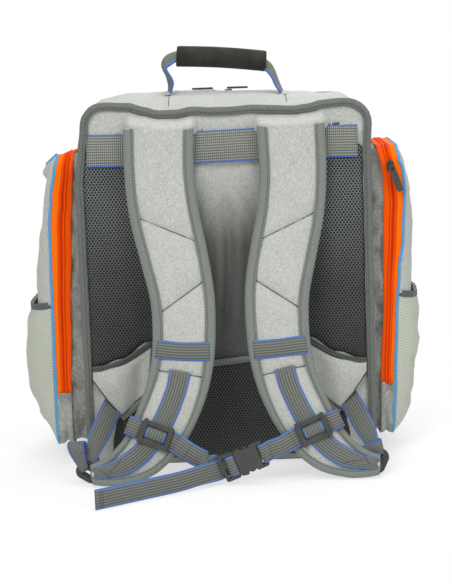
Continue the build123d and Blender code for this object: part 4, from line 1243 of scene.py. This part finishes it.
def ring_sheet(name, side, part, low, high, runs, place, material, thickness, body, replaces=(), wrap=False):
    """A strip of cloth that follows a ring: one row for each distance out from the bag."""
    outs = [low + (high - low) * k / runs for k in range(runs + 1)]
    rows, routes = [], []
    middle = (outs[0] + outs[-1]) / 2
    for out in outs:
        rows.append([place(side, out, *r) for r in part])
        routes.append([(s, out - middle, abs(outs[-1] - middle)) for s in along_of(rows[-1])])
    sheet(name, rows, material, thickness, body, replaces, wrap, routes)


GUSSET_OUT = TAPE_OUT - 1.5
run_part = ring_part(ZIP_END_Z, True)
for side_name, side in SIDES.items():
    flap = f"{side_name}_flap"
    ring_sheet(f"{side_name}_pocket_gusset_cloth", side, pocket_ring(1.4), 0.0, GUSSET_OUT, 15, gusset_point,
               HEATHER_SHADED_GUSSET, 2.6, "bag", [f"{side_name}_pocket_gusset"], wrap=True)
    fold_from, fold_to = ((side * (HALF_WIDTH + out), POCKET_MID_Y, 60) for out in (16, 40))
    ring_sheet(f"{side_name}_lower_gusset_cloth", side, ring_part(ZIP_END_Z + 3, False), 16.5, RIM_OUT, 12,
               lower_point, HEATHER_SHADED_LOW_GUSSET, 2.0, ("bag", flap, fold_from, fold_to))

    # Orange zip: a tape, a raised coil sewn down with pale thread, and teeth, each side of where they meet.
    for word, way, body, node, low, high, tape in (
            ("inner", -1, "bag", "pocket_inner_tapes", TAPES_IN, TAPE_OUT - 0.4, ORANGE_TAPE_SHADED),
            ("outer", 1, flap, f"{side_name}_pocket_outer_tape", TAPE_OUT + 0.4, RIM_OUT, ORANGE_TAPE)):
        ring_sheet(f"{side_name}_{word}_tape_cloth", side, run_part, low, high, 6, tape_point, tape, 1.2, body, [node])
        ups = [Vector((0, *r[2:])).normalized() for r in run_part]
        line = [pocket_place(side, TAPE_OUT + way * 3.1, *r[:2], 1.7, *r[2:]) for r in run_part]
        sweep(f"{side_name}_{word}_coil", line, ups, oval_section(3.6, 2.0, 8), ORANGE_CHAIN, body)
        blocks(f"{side_name}_{word}_coil_thread", frames_along(line, ups, 2.3, 1.2, lift=0.95), (1.25, 1.0, 0.5),
               ORANGE_THREAD, body)
        line = [pocket_place(side, TAPE_OUT + way * 0.75, *r[:2], 1.9, *r[2:]) for r in run_part]
        blocks(f"{side_name}_{word}_teeth", frames_along(line, ups, 2.6, 1.3 + way * 0.65), (1.1, 1.9, 1.4),
               ORANGE_CHAIN, body)

    # Blue piping round the rim.
    ring = pocket_ring(-1.0)
    line = [pocket_place(side, RIM_OUT, y, z) for y, z, ny, nz in ring]
    outs = [Vector((side * 0.8, ny, nz)).normalized() for y, z, ny, nz in ring]
    sweep(f"{side_name}_pocket_piping_cord", line, outs, oval_section(3.8, 3.8, 10), PIPING, flap,
          [f"{side_name}_pocket_piping"], closed=True)

    # Domed outer panel.
    columns, count = 44, 60
    rows = []
    for r in range(count):
        z = POCKET_MID - POCKET_HALF * cos(pi * r / (count - 1))
        near = max(0.0, abs(z - POCKET_MID) - (POCKET_HALF - POCKET_RADIUS))
        span = POCKET_HALF_Y - POCKET_RADIUS + (POCKET_RADIUS**2 - near**2) ** 0.5
        rows.append([dome_point(side, POCKET_MID_Y - span * cos(pi * c / (columns - 1)), z) for c in range(columns)])
    sheet(f"{side_name}_pocket_panel_cloth", rows, HEATHER, 2.2, flap, [f"{side_name}_pocket_panel"])

    # Stretch mesh sleeve over the lower half, with an elastic top edge that dips.
    columns, count = 56, 50
    rows = []
    for r in range(count):
        z = POCKET_BOTTOM + 2 + (MESH_TOP - POCKET_BOTTOM - 2) * (r / (count - 1)) ** 1.15
        narrow = max(0.0, POCKET_RADIUS - (z - POCKET_BOTTOM))
        span = POCKET_HALF_Y - (0.6 + POCKET_RADIUS - (POCKET_RADIUS**2 - min(POCKET_RADIUS, narrow) ** 2) ** 0.5)
        turns = [pi * c / (columns - 1) for c in range(columns)]
        dip = 7.0 * (r / (count - 1)) ** 3
        rows.append([dome_point(side, POCKET_MID_Y - span * cos(turn), z - dip * sin(turn), True) for turn in turns])
    sheet(f"{side_name}_mesh_sleeve", rows, SIDE_MESH, 1.2, flap, [f"{side_name}_mesh_pocket"])
    line = [p + Vector((side * 1.7, 0, -3.0)) for p in rows[-1]]
    ups = [run.cross(UP).normalized() for run in tangents(line)]
    ups = [up if up.x * side > 0 else -up for up in ups]
    sweep(f"{side_name}_mesh_elastic", line, ups, flat_section(8.0, 1.6), ELASTIC, flap)


# ------------------------------------------------------------------ carry handle
GRIP_LEFT, GRIP_RIGHT = Vector((STRAP_X - 57, HANDLE_Y, BAG_TOP + 56)), Vector((STRAP_X + 57, HANDLE_Y, BAG_TOP + 46))
GRIP_SETBACK = 0.018  # the foam stops this share of the line short at each end
line = []
for k in range(31):
    p = GRIP_LEFT.lerp(GRIP_RIGHT, GRIP_SETBACK + (1 - 2 * GRIP_SETBACK) * k / 30)
    line.append(p + UP * 1.6 * sin(pi * k / 30))
section = oval_section(25.4, 25.4, 28)
aim = (line[-1] - line[0]).normalized()
across = Vector((0, 1, 0))
up = -across.cross(aim).normalized()
ends = [(0.0, 0.62), (0.0, 0.9), (1.6, 1.0)]  # how far in and how full the rounded ends are
stations = [(line[0] + aim * d, g) for d, g in ends] + [(p, 1.0) for p in line[1:-1]]
stations += [(line[-1] - aim * d, g) for d, g in reversed(ends)]
points = [p + across * a * g + up * b * g for p, g in stations for a, b in section]
n, last = len(section), (len(stations) - 1) * len(section)
faces = quads(len(stations), n, wrap=True) + [tuple(reversed(range(n))), tuple(range(last, last + n))]
grip = attach(new_piece("handle_grip_foam", points, faces, FOAM), "handle", ["handle_grip"])

# Each leg of webbing is crushed and turned: its upper edge and its lower edge, from the grip down to the foot.
LEG_EDGES = {
    "left": ([(-45, 495.5), (-52.3, 495.0), (-62.3, 491.7), (-68.0, 487.0), (-70.8, 479.8), (-69.2, 473.7),
              (-65.8, 466.2), (-63.2, 453.9), (-65.0, 441.5), (-65.5, 437)],
             [(-45, 483.5), (-52.8, 483.5), (-59.1, 480.0), (-64.8, 476.6), (-64.6, 474.5), (-63.1, 471.0),
              (-58.6, 463.5), (-57.2, 456.0), (-61.8, 441.0), (-62.0, 437)]),
    "right": ([(48, 484.5), (55.4, 482.8), (62.6, 477.6), (67.3, 470.2), (71.3, 459.0), (75.2, 448.5), (77.8, 441.7),
               (78.5, 437)],
              [(48, 471.5), (55.0, 469.8), (59.8, 466.1), (64.2, 459.9), (67.6, 451.8), (71.3, 445.5), (74.6, 440.8),
               (75.2, 437)]),
}
for word, (upper, lower) in LEG_EDGES.items():
    edges = through([(*a, *b) for a, b in zip(upper, lower)], 3)
    lean = SIDES[word] * -0.5
    rows, routes = [], []
    for k, (q, run) in enumerate(zip(edges, along_of(edges))):
        wide = hypot(q[0] - q[2], q[1] - q[3])
        deep = 0.5 * max(0.0, 24.0**2 - wide**2) ** 0.5 * (0.55 + 0.45 * fade(k, 0, 8))
        row, shares = [], [c / 8 for c in range(9)]
        for u in shares:
            cup = 1.2 * sin(pi * u)
            x, z = q[0] + (q[2] - q[0]) * u, q[1] + (q[3] - q[1]) * u
            row.append(Vector((x + cup * lean, HANDLE_Y + deep * (1 - 2 * u), z + cup)))
        rows.append(row)
        routes.append([(run * 0.7, -8.5 + 20.5 * u, 12.0) for u in shares])
    sheet(f"handle_leg_{word}", rows, WEBBING, 2.2, "handle", ["handle_webbing"], routes=routes)


# The legs are sewn in under the top panel: its cloth stands up round each, and stitches run back from there.
def on_top(x, y, sunk, lift):
    """A point over the top panel that rises from so far below its tidy height, with the panel's waves."""
    p = Vector((x, y, BAG_TOP - sunk))
    return p + UP * (settle(p.x, p.y, BAG_TOP).z + lift)


for word, foot in HANDLE_FEET.items():
    def anchor_point(u, v):
        across = (u - 0.5) * 9
        rise = 3.4 * bell(across, 0, 2.6) * (1 - abs(2 * v - 1) ** 3)
        return on_top(foot + across, HANDLE_Y + (v - 0.5) * 26, 2.4, 2.6 + rise)

    sheet(f"handle_anchor_{word}", grid(7, 9, anchor_point), HEATHER, 1.6, "bag", ["handle_anchors"])
    line = [on_top(foot + 1.5, y, 0.0, 0.5) for y in range(int(HANDLE_Y) - 12, int(BACK_Y) + 14, -4)]
    blocks(f"top_seam_{word}", frames_along(line, UP, 3.2, 1.0), (2.2, 0.7, 0.5), THREAD, "bag", slot="binding_fabric")


# ------------------------------------------------------------------ shoulder straps
# Down the strap's middle: distance from the bag's middle, height, half width.
STRAP_ROUTE = [
    (77, 409, 40), (78, 355, 39.5), (74, 310, 39.5), (65, 265, 38.5), (56, 215, 36.5), (55, 175, 35.5),
    (58, 140, 35), (67, 105, 34), (84, 69, 32), (107, 39, 27), (133, 23, 19), (152, 17.5, 13.5), (168, 16, 9.5),
]
# Height, and how far the strap's face stands off the back panel there.
STRAP_DEPTHS = [(415, 17), (360, 19.5), (310, 24), (265, 31), (215, 42), (175, 51), (110, 66), (50, 82), (2, 99)]
RAIL_ROUTE = [(61, 128), (67, 105), (84, 69), (107, 39), (133, 23), (163, 16.5)]
STRAP_THICK = 9.5
STRAP_COLUMNS = 35
SEAM_IN = 0.6  # the cushion's edge lies this far inside the strap's
depth_line = through(STRAP_DEPTHS, 4)


def strap_depth(z):
    """How far the strap's face stands off the back panel at this height, and its slope there."""
    z = min(max(z, 2.2), 414.8)
    for a, b in zip(depth_line, depth_line[1:]):
        if b[0] <= z <= a[0]:
            slope = (b[1] - a[1]) / (b[0] - a[0])
            return a[1] + slope * (z - a[0]), slope
    return depth_line[-1][1], 0.0


def on_strap(x, z, height=0.0):
    """The point that far above the strap's face, at this x and z, and the face's normal there."""
    depth, slope = strap_depth(z)
    normal = Vector((0, -1, -slope)).normalized()
    return Vector((x, BACK_Y - depth, z)) + normal * height, normal


route_line = through(STRAP_ROUTE, 1.8)
route_along = along_of([Vector((*p[:2], 0)) for p in route_line])
route_runs = tangents([Vector(p[:2]) for p in route_line])


def strap_frames(side):
    """Down the strap: (centre (x, z), across (x, z) pointing away from the spine, half width, distance)."""
    result = []
    for p, run, distance in zip(route_line, route_runs, route_along):
        # The right strap is the narrower of the two at its top.
        trim = 1.5 * fade(p[1], 215, 310) if side > 0 else 0.0
        centre = Vector((STRAP_X + side * (p[0] + trim), p[1]))
        result.append((centre, Vector((side * -run.y, run.x)), p[2] - trim, distance))
    return result


# Sewn lines across the strap: height at the outer edge, height at the inner edge.
SEWN_LINES = [(310, 272), (190.5, 235.5), (131, 119)]


def sewn(u, z):
    """How deep the quilting pulls the strap in at a point: u runs from -1 at the inner edge to 1 at the outer."""
    pull = 0.0
    for outer, inner in SEWN_LINES:
        gap = z - inner - (outer - inner) * (u + 1) / 2
        pull = max(pull, bell(gap, 0, 2.6), 0.55 * bell(gap, 0, 11.0))
    return pull


ACROSS_STRAP = [-1 + 2 * c / (STRAP_COLUMNS - 1) for c in range(STRAP_COLUMNS)]
# The cushion's top rows: how far they rise above the strap's top, stand off the back panel, and are wider.
ROOT_ROWS = ((9.0, 3.0, -9.0), (7.0, 6.0, -6.0), (5.0, 9.5, -3.5), (3.2, 12.5, -1.8), (1.6, 15.2, -0.6))


def root_rows(side):
    """The cushion's top end slopes back and is sewn flat into the back panel's top band."""
    centre, _, half, _ = strap_frames(side)[0]
    rows = []
    for rise, depth, wide in ROOT_ROWS:
        row = []
        for u in ACROSS_STRAP:
            crown = 2.2 * (1 - abs(u) ** 2.4) * (1 - rise / 20) - 0.4
            x = centre.x + side * (half - SEAM_IN + wide) * u
            z = centre.y + rise + 0.5 * crumple((x, side, rise), 14, 83)
            row.append(Vector((x, BACK_Y - depth - crown - 0.6 * crumple((x, side, rise), 15, 81), z)))
        rows.append(row)
    return rows


def strap_crown(u, half):
    """How far the cushion's face stands above its edge, which lies flat under the binding."""
    reach = min(1.0, abs(u) * (half - SEAM_IN) / max(half - 9.0, half * 0.4))
    return 4.0 * (1 - reach**2.4) * min(1.0, half / 30) - 0.5


def seam_line(side, outer, inner):
    """Along one sewn line, lying in the bottom of its groove: the points and the strap's normal at each."""
    found = []
    for c in range(31):
        u = -0.9 + 1.8 * c / 30
        z = inner + (outer - inner) * (u + 1) / 2
        nearest = min(strap_frames(side), key=lambda f: abs((f[0] + f[1] * (f[2] - SEAM_IN) * u).y - z))
        centre, across, half, _ = nearest
        x = (centre + across * (half - SEAM_IN) * u).x
        found.append(on_strap(x, z, 0.4 * strap_crown(u, half) - 3.0 * (1 - abs(u) ** 8) + 0.5))
    return zip(*found)


# The binding's section, folded round an edge: how far in from the edge, and the height over the strap's face.
FOLDED = [(10.6, 1.1), (7, 1.35), (3, 1.2), (0.2, 0.4), (-1.0, -2.0), (-1.2, -5.0), (-0.8, -8.0), (0.6, -10.2),
          (4, -10.9), (10.6, -10.6)]
folded_along = along_of([Vector(place) for place in FOLDED])
for side_name, side in SIDES.items():
    strap = f"{side_name}_strap"
    frames = strap_frames(side)
    front = root_rows(side)
    back = []
    for row in front:
        back.append([Vector((p.x, min(max(p.y + 5.0, BACK_Y - STRAP_THICK + 3), BACK_Y - 0.4), p.z)) for p in row])
    for centre, across, half, _ in frames:
        row_front, row_back = [], []
        for u in ACROSS_STRAP:
            x, z = centre + across * (half - SEAM_IN) * u
            crown = strap_crown(u, half)
            crown -= sewn(u, z) * (1 - abs(u) ** 8) * (3.0 + 0.6 * crown)
            crown += 0.45 * crumple((x, side, z), 16, 80) * (1 - abs(u) ** 4)
            row_front.append(on_strap(x, z, crown)[0])
            row_back.append(on_strap(x, z, -STRAP_THICK - 0.8 * (1 - abs(u) ** 2.4) + 0.6)[0])
        front.append(row_front)
        back.append(row_back)
    root_from, root_to = (Vector((side * 80, BACK_Y, z)) for z in (427, 403))
    pillow(f"{side_name}_strap_cushion", front, back, HEATHER, ("bag", strap, root_from, root_to),
           [f"{side_name}_strap_pad"])

    # Dark cord in the quilting grooves: the stitching, and painted shade for the shadow in each groove.
    for mark, (outer, inner) in enumerate(SEWN_LINES):
        line, ups = seam_line(side, outer, inner)
        sweep(f"{side_name}_strap_seam_{mark}", line, ups, oval_section(1.5, 1.2, 8), QUILT_THREAD_AND_SHADE, strap)

    # Binding folded round both edges.
    for word, edge_way in (("outer", 1), ("inner", -1)):
        rows, routes = [], []
        for centre, across, half, s in frames:
            row = []
            for inward, height in FOLDED:
                taper = 0.62 + 0.38 * fade(centre.y, 60, 170) if inward > 0 else 1.0
                x, z = centre + across * edge_way * max(half - inward * taper, 0.4)
                row.append(on_strap(x, z, height + 0.15 * crumple((x, 0, z), 14, 90))[0])
            rows.append(row)
            routes.append([(s, folded_along[-1] / 2 - wide, folded_along[-1] / 2) for wide in folded_along])
        sheet(f"{side_name}_strap_binding_{word}", rows, BINDING, 0.9, strap, [f"{side_name}_strap_binding"],
              routes=routes)

    # Short webbing across the strap, and the long one that the chest strap's slider runs on.
    start, rise, bow = (149.5, 4.6, 1.6) if side < 0 else (149, 4.8, 0.6)
    shares = [k / 18 for k in range(19)]
    line, ups = zip(*[on_strap(STRAP_X + side * (25.5 + 63 * t), start + rise * t - bow * sin(pi * t),
                               1.5 + 1.9 * (1 - (2 * t - 1) ** 2)) for t in shares])
    webbing(f"{side_name}_cross_webbing", line, ups, 22.0, 1.4, strap, [f"{side_name}_strap_webbing"])

    rail = through([(STRAP_X + side * x, z) for x, z in RAIL_ROUTE], 5)
    line, ups, narrow = [], [], []
    for k, q in enumerate(rail):
        t = k / (len(rail) - 1)
        p, n = on_strap(q.x, q.y, 3.0 + 0.9 * sin(pi * min(1, t * 1.3)) - 1.4 * fade(t, 0.75, 1.0))
        line.append(p)
        ups.append(n)
        narrow.append(1 - 0.36 * fade(t, 0.74, 0.95))
    line.append(line[-1] + (line[-1] - line[-2]).normalized() * 6 + Vector((0, 4.5, -0.5)))
    ups.append(ups[-1])
    narrow.append(0.6)
    webbing(f"{side_name}_rail_webbing", line, ups, 24.6, 1.5, strap, [f"{side_name}_strap_webbing"], widths=narrow)
    # Its end is folded to a point and sewn down on both sides of the fold.
    n = len(line)
    for mark, (i, j, lean) in enumerate(((n - 9, n - 5, 1), (n - 5, n - 3, -1))):
        cross = (line[i + 1] - line[i]).normalized().cross(ups[i]).normalized()
        ends = [line[i].lerp(line[j], t) + cross * lean * (8.5 - 12 * t) + ups[i] * 1.1 for t in QUARTERS]
        stitches(f"{side_name}_fold_stitch_{mark}", ends, ups[i], strap)


# ------------------------------------------------------------------ chest strap
BUCKLE_AT = Vector((5.0, -220.0, 25.0))
TILT = radians(21.0)
BUCKLE_X = Vector((cos(TILT), 0, sin(TILT)))
BUCKLE_Y = Vector((-sin(TILT), 0, cos(TILT)))
SLIDER_X, SLIDER_Z = 92.0, 56.5
SLIDER_TILT = radians(22.0)
SLIDER_DEPTH, SLIDER_SLOPE, SLIDER_STANDOFF = 80.27, -16 / 60, 3.8
CHEST_WIDTH, CHEST_THICK = 23.0, 1.5


def buckle_point(u, v, w=0.0):
    return BUCKLE_AT + BUCKLE_X * u + BUCKLE_Y * v + TO_WEARER * w


def slider_frame(side):
    """The chest slider's middle, its direction outwards along the webbing, across and normal."""
    normal = Vector((0, -1, -SLIDER_SLOPE)).normalized()
    along = Vector((side * cos(SLIDER_TILT), -SLIDER_SLOPE * sin(SLIDER_TILT), sin(SLIDER_TILT))).normalized()
    middle = Vector((STRAP_X + side * SLIDER_X, BACK_Y - SLIDER_DEPTH, SLIDER_Z)) + normal * SLIDER_STANDOFF
    return middle, along, normal.cross(along), normal


def turned_ups(line, across):
    """Face normals for a strip whose width stays along one direction."""
    return [run.cross(across).normalized() for run in tangents(line)]


# The strap's own webbing comes up through one slot, goes over the middle bar and down through the other.
OVER_BAR = [(-6.6, -1.4), (-5.9, 2.6), (-4.2, 5.0), (0, 5.9), (4.2, 5.0), (5.9, 2.6), (6.6, -1.4)]
# A loop of webbing goes from the slider's outer bar round the strap's edge and under it.
ROUND_EDGE = [(13.6, -1.1), (18.3, -1.1), (20.6, 0.6), (24, 1.9), (30.5, 1.4), (34.3, -0.8), (35.5, -5), (33.5, -11),
              (27.5, -15.2), (18, -15.8)]
for side_name, side in SIDES.items():
    runner, node = f"{side_name}_chest_runner", f"{side_name}_chest_webbing"
    middle, along, cross, normal = slider_frame(side)
    line = through([middle + cross * a + normal * h for a, h in OVER_BAR], 1.5)
    webbing(f"{side_name}_slider_patch", line, turned_ups(line, along), 24.0, 1.3, runner)
    line = through([middle + along * a + normal * h for a, h in ROUND_EDGE], 2)
    webbing(f"{side_name}_slider_loop", line, turned_ups(line, cross), 22.5, 1.5, runner, [node])


def stitch_row(name, middle, across, up, width, body):
    stitches(name, [middle + across * width * (t - 0.5) + up * 0.95 for t in QUARTERS], up, body)


def sewn_across(name, line, ups, at, body):
    """A row of stitches across a strip at one of its points, with the doubled end's edge beside it."""
    across = (line[at + 1] - line[at]).normalized().cross(ups[at]).normalized()
    stitch_row(name, line[at], across, ups[at], 21, body)


# The chest webbing comes out from under the slider's inner bar: how far along, and how high.
UNDER_BAR = ((13.6, -1.1), (18.3, -1.1), (20.6, 0.6), (24.5, 2.0))
middle, along, cross, normal = slider_frame(-1)
wrap = [middle - along * a + normal * h for a, h in UNDER_BAR]
end, hang = buckle_point(-13.5, 0, -5.2), wrap[-1]
sag = [hang.lerp(end, 0.35) + Vector((0, -4, -3.4)), hang.lerp(end, 0.7) + Vector((0, -3, -3.8))]
line = through([*wrap, *sag, buckle_point(-20, 0, -5.4), end], 3)
ups = []
for p, run in zip(line, tangents(line)):
    across = cross.lerp(Vector((-0.16, 0.1, 1)), fade((p - line[0]).length, 25, 80))
    ups.append(facing_wearer(run.cross(across).normalized()))
ups[:4] = [normal] * 4
# It is made in two pieces that meet on the strap.
split = 10
webbing("left_chest_webbing_near", line[: split + 1], ups[: split + 1], CHEST_WIDTH, CHEST_THICK,
        ("left_chest_runner", "left_strap", line[4], line[split - 1]), ["left_chest_webbing"])
webbing("left_chest_webbing_far", line[split:], ups[split:], CHEST_WIDTH, CHEST_THICK,
        ("left_strap", "male_half", line[split], line[-4]))
sewn_across("left_chest_stitch", line, ups, 4, "left_chest_runner")

middle, along, cross, normal = slider_frame(1)
wrap = [middle - along * a + normal * h for a, h in UNDER_BAR]
bar = [buckle_point(u, 0, w) for u, w in ((41, 2.0), (37, 5.0), (33.3, 6.4), (30.2, 4.8), (29.4, 0))]
line = through([*wrap, wrap[-1].lerp(bar[0], 0.5) + Vector((0, -1.5, -1.0)), *bar], 3)
upwards = cross if cross.dot(BUCKLE_Y) > 0 else -cross
ups = []
for k, run in enumerate(tangents(line)):
    ups.append(-upwards.lerp(BUCKLE_Y, fade(k / (len(line) - 1), 0.2, 0.8)).cross(run).normalized())
if ups[len(ups) // 2].y > 0:
    ups = [-up for up in ups]
webbing("right_chest_webbing_strip", line, ups, CHEST_WIDTH, CHEST_THICK,
        ("right_chest_runner", "right_strap", line[5], line[-7]), ["right_chest_webbing"])
sewn_across("right_chest_stitch_slider", line, ups, 5, "right_chest_runner")
sewn_across("right_chest_stitch_buckle", line, ups, len(line) - 7, "right_strap")

# The patch of webbing over the male half's middle bar, and the loose end that runs out to the floor.
MALE_BAR = ((-11.8, -1.5), (-11.2, 2.4), (-9.0, 4.7), (-5, 5.0), (-2.4, 4.2), (-1.3, 0.5))
line = through([buckle_point(u, 0, w) for u, w in MALE_BAR], 1.5)
webbing("male_bar_patch", line, turned_ups(line, BUCKLE_Y), 24.0, 1.3, "male_half")
TAIL_OUT = ((-13.4, 0, 0.5), (-14.4, 0, -2.6), (-17, 0.1, -4.3), (-22, 0.2, -1.5))
TAIL_DOWN = ((-34, -236, 17.5), (-62, -254, 14.8), (-104, -279, 13.6), (-154, -311.5, 13.2))
tail = through([*[buckle_point(*place) for place in TAIL_OUT], *TAIL_DOWN], 4)
ups = []
for k, run in enumerate(tangents(tail)):
    up = BUCKLE_Y.lerp(UP, fade(k, 3, 12)).cross(run).normalized()
    ups.append(up if k < 3 else facing_wearer(up))
ups[:3] = [ups[3]] * 3
webbing("chest_tail_strip", tail, ups, 24.0, 1.5, "male_half", ["chest_tail"])
run = (tail[-1] - tail[-2]).normalized()
for k, back_off in enumerate((6.5, 9.5)):
    stitch_row(f"tail_stitch_{k}", tail[-1] - run * back_off, run.cross(ups[-1]).normalized(), ups[-1], 22, "male_half")


# ------------------------------------------------------------------ lower webbing and the loops at the ladder locks
LOWER_ROUTE = [(141, -3.4, 79), (146, -11, 72), (154, -34, 57), (162.5, -58, 40), (168.5, -72, 26), (171, -76, 17)]
# The folded end of the lower webbing beside each lock: points, face normals and how wide each is seen.
LOCK_FOLDS = {
    "left": [((-173.5, -199.5, 16), (0, -1, 0), 0.42), ((-177.5, -200.5, 27), (-0.1, -1, 0), 0.62),
             ((-182.0, -201, 40), (-0.15, -1, 0.1), 0.84), ((-183.5, -199, 47), (-0.1, -0.6, 0.8), 0.9),
             ((-183, -194, 50), (0, 0.1, 1), 0.9), ((-181.5, -188, 48), (0, 0.7, 0.7), 0.9),
             ((-180, -185, 40), (0, 1, 0.1), 0.9), ((-178, -184, 30), (0, 1, 0), 0.8)],
    "right": [((146, -193, 22), (0, -1, 0.1), 0.8), ((158, -197, 27), (0, -1, 0.1), 0.8),
              ((168, -199.5, 31), (0.1, -1, 0.1), 0.8), ((173.5, -198.5, 32.6), (0.6, -0.8, 0.1), 0.8),
              ((176, -194, 33), (1, 0, 0.2), 0.8), ((174, -189, 32), (0.7, 0.7, 0), 0.8),
              ((167, -186, 29), (0.1, 1, 0), 0.8)],
}
for side_name, side in SIDES.items():
    strap = f"{side_name}_strap"
    line = through([(side * x, BACK_Y + y, z) for x, y, z in LOWER_ROUTE], 5)
    across = Vector((side * 1.0, 0.42, 0.55)).normalized()
    ups, narrow = [], []
    for k, up in enumerate(turned_ups(line, across)):
        ups.append(up if up.y < 0 or abs(up.y) < 0.05 and up.z > 0 else -up)
        narrow.append(1 - 0.45 * fade(k / (len(line) - 1), 0.5, 0.95))
    webbing(f"{side_name}_lower_webbing", line, ups, 25.0, 1.6, ("bag", strap, line[2], line[-4]), ["lower_webbings"],
            widths=narrow)

    dense = through([(*place, *normal, wide) for place, normal, wide in LOCK_FOLDS[side_name]], 3)
    webbing(f"{side_name}_lock_fold", [Vector(q[:3]) for q in dense], [Vector(q[3:6]).normalized() for q in dense],
            22.0, 1.5, strap, widths=[q[6] for q in dense])


# ------------------------------------------------------------------ CAD pieces that stay, with their materials
def keep_node(name, material, bevel):
    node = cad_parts[name]
    node.data.materials.clear()
    node.data.materials.append(material)
    if bevel:
        modifier = node.modifiers.new("edge", "BEVEL")
        modifier.width = bevel * MM
        modifier.segments = 2
        modifier.limit_method = "ANGLE"
        modifier.angle_limit = radians(40)


for name in ("left_chest_slider", "right_chest_slider", "left_ladder_lock", "right_ladder_lock", "buckle_female",
             "buckle_male", "buckle_prongs", "main_zip_left_pull", "main_zip_right_pull", "left_pocket_pull",
             "right_pocket_pull", "front_pocket_pull"):
    keep_node(name, PLASTIC, 0.5)
for name in ("main_zip_left_slider", "main_zip_right_slider", "left_pocket_slider", "right_pocket_slider",
             "front_pocket_slider"):
    keep_node(name, METAL, 0.3)
keep_node("back_frame_sheet", SHEET, 0)
keep_node("base_board", SHEET, 0.6)
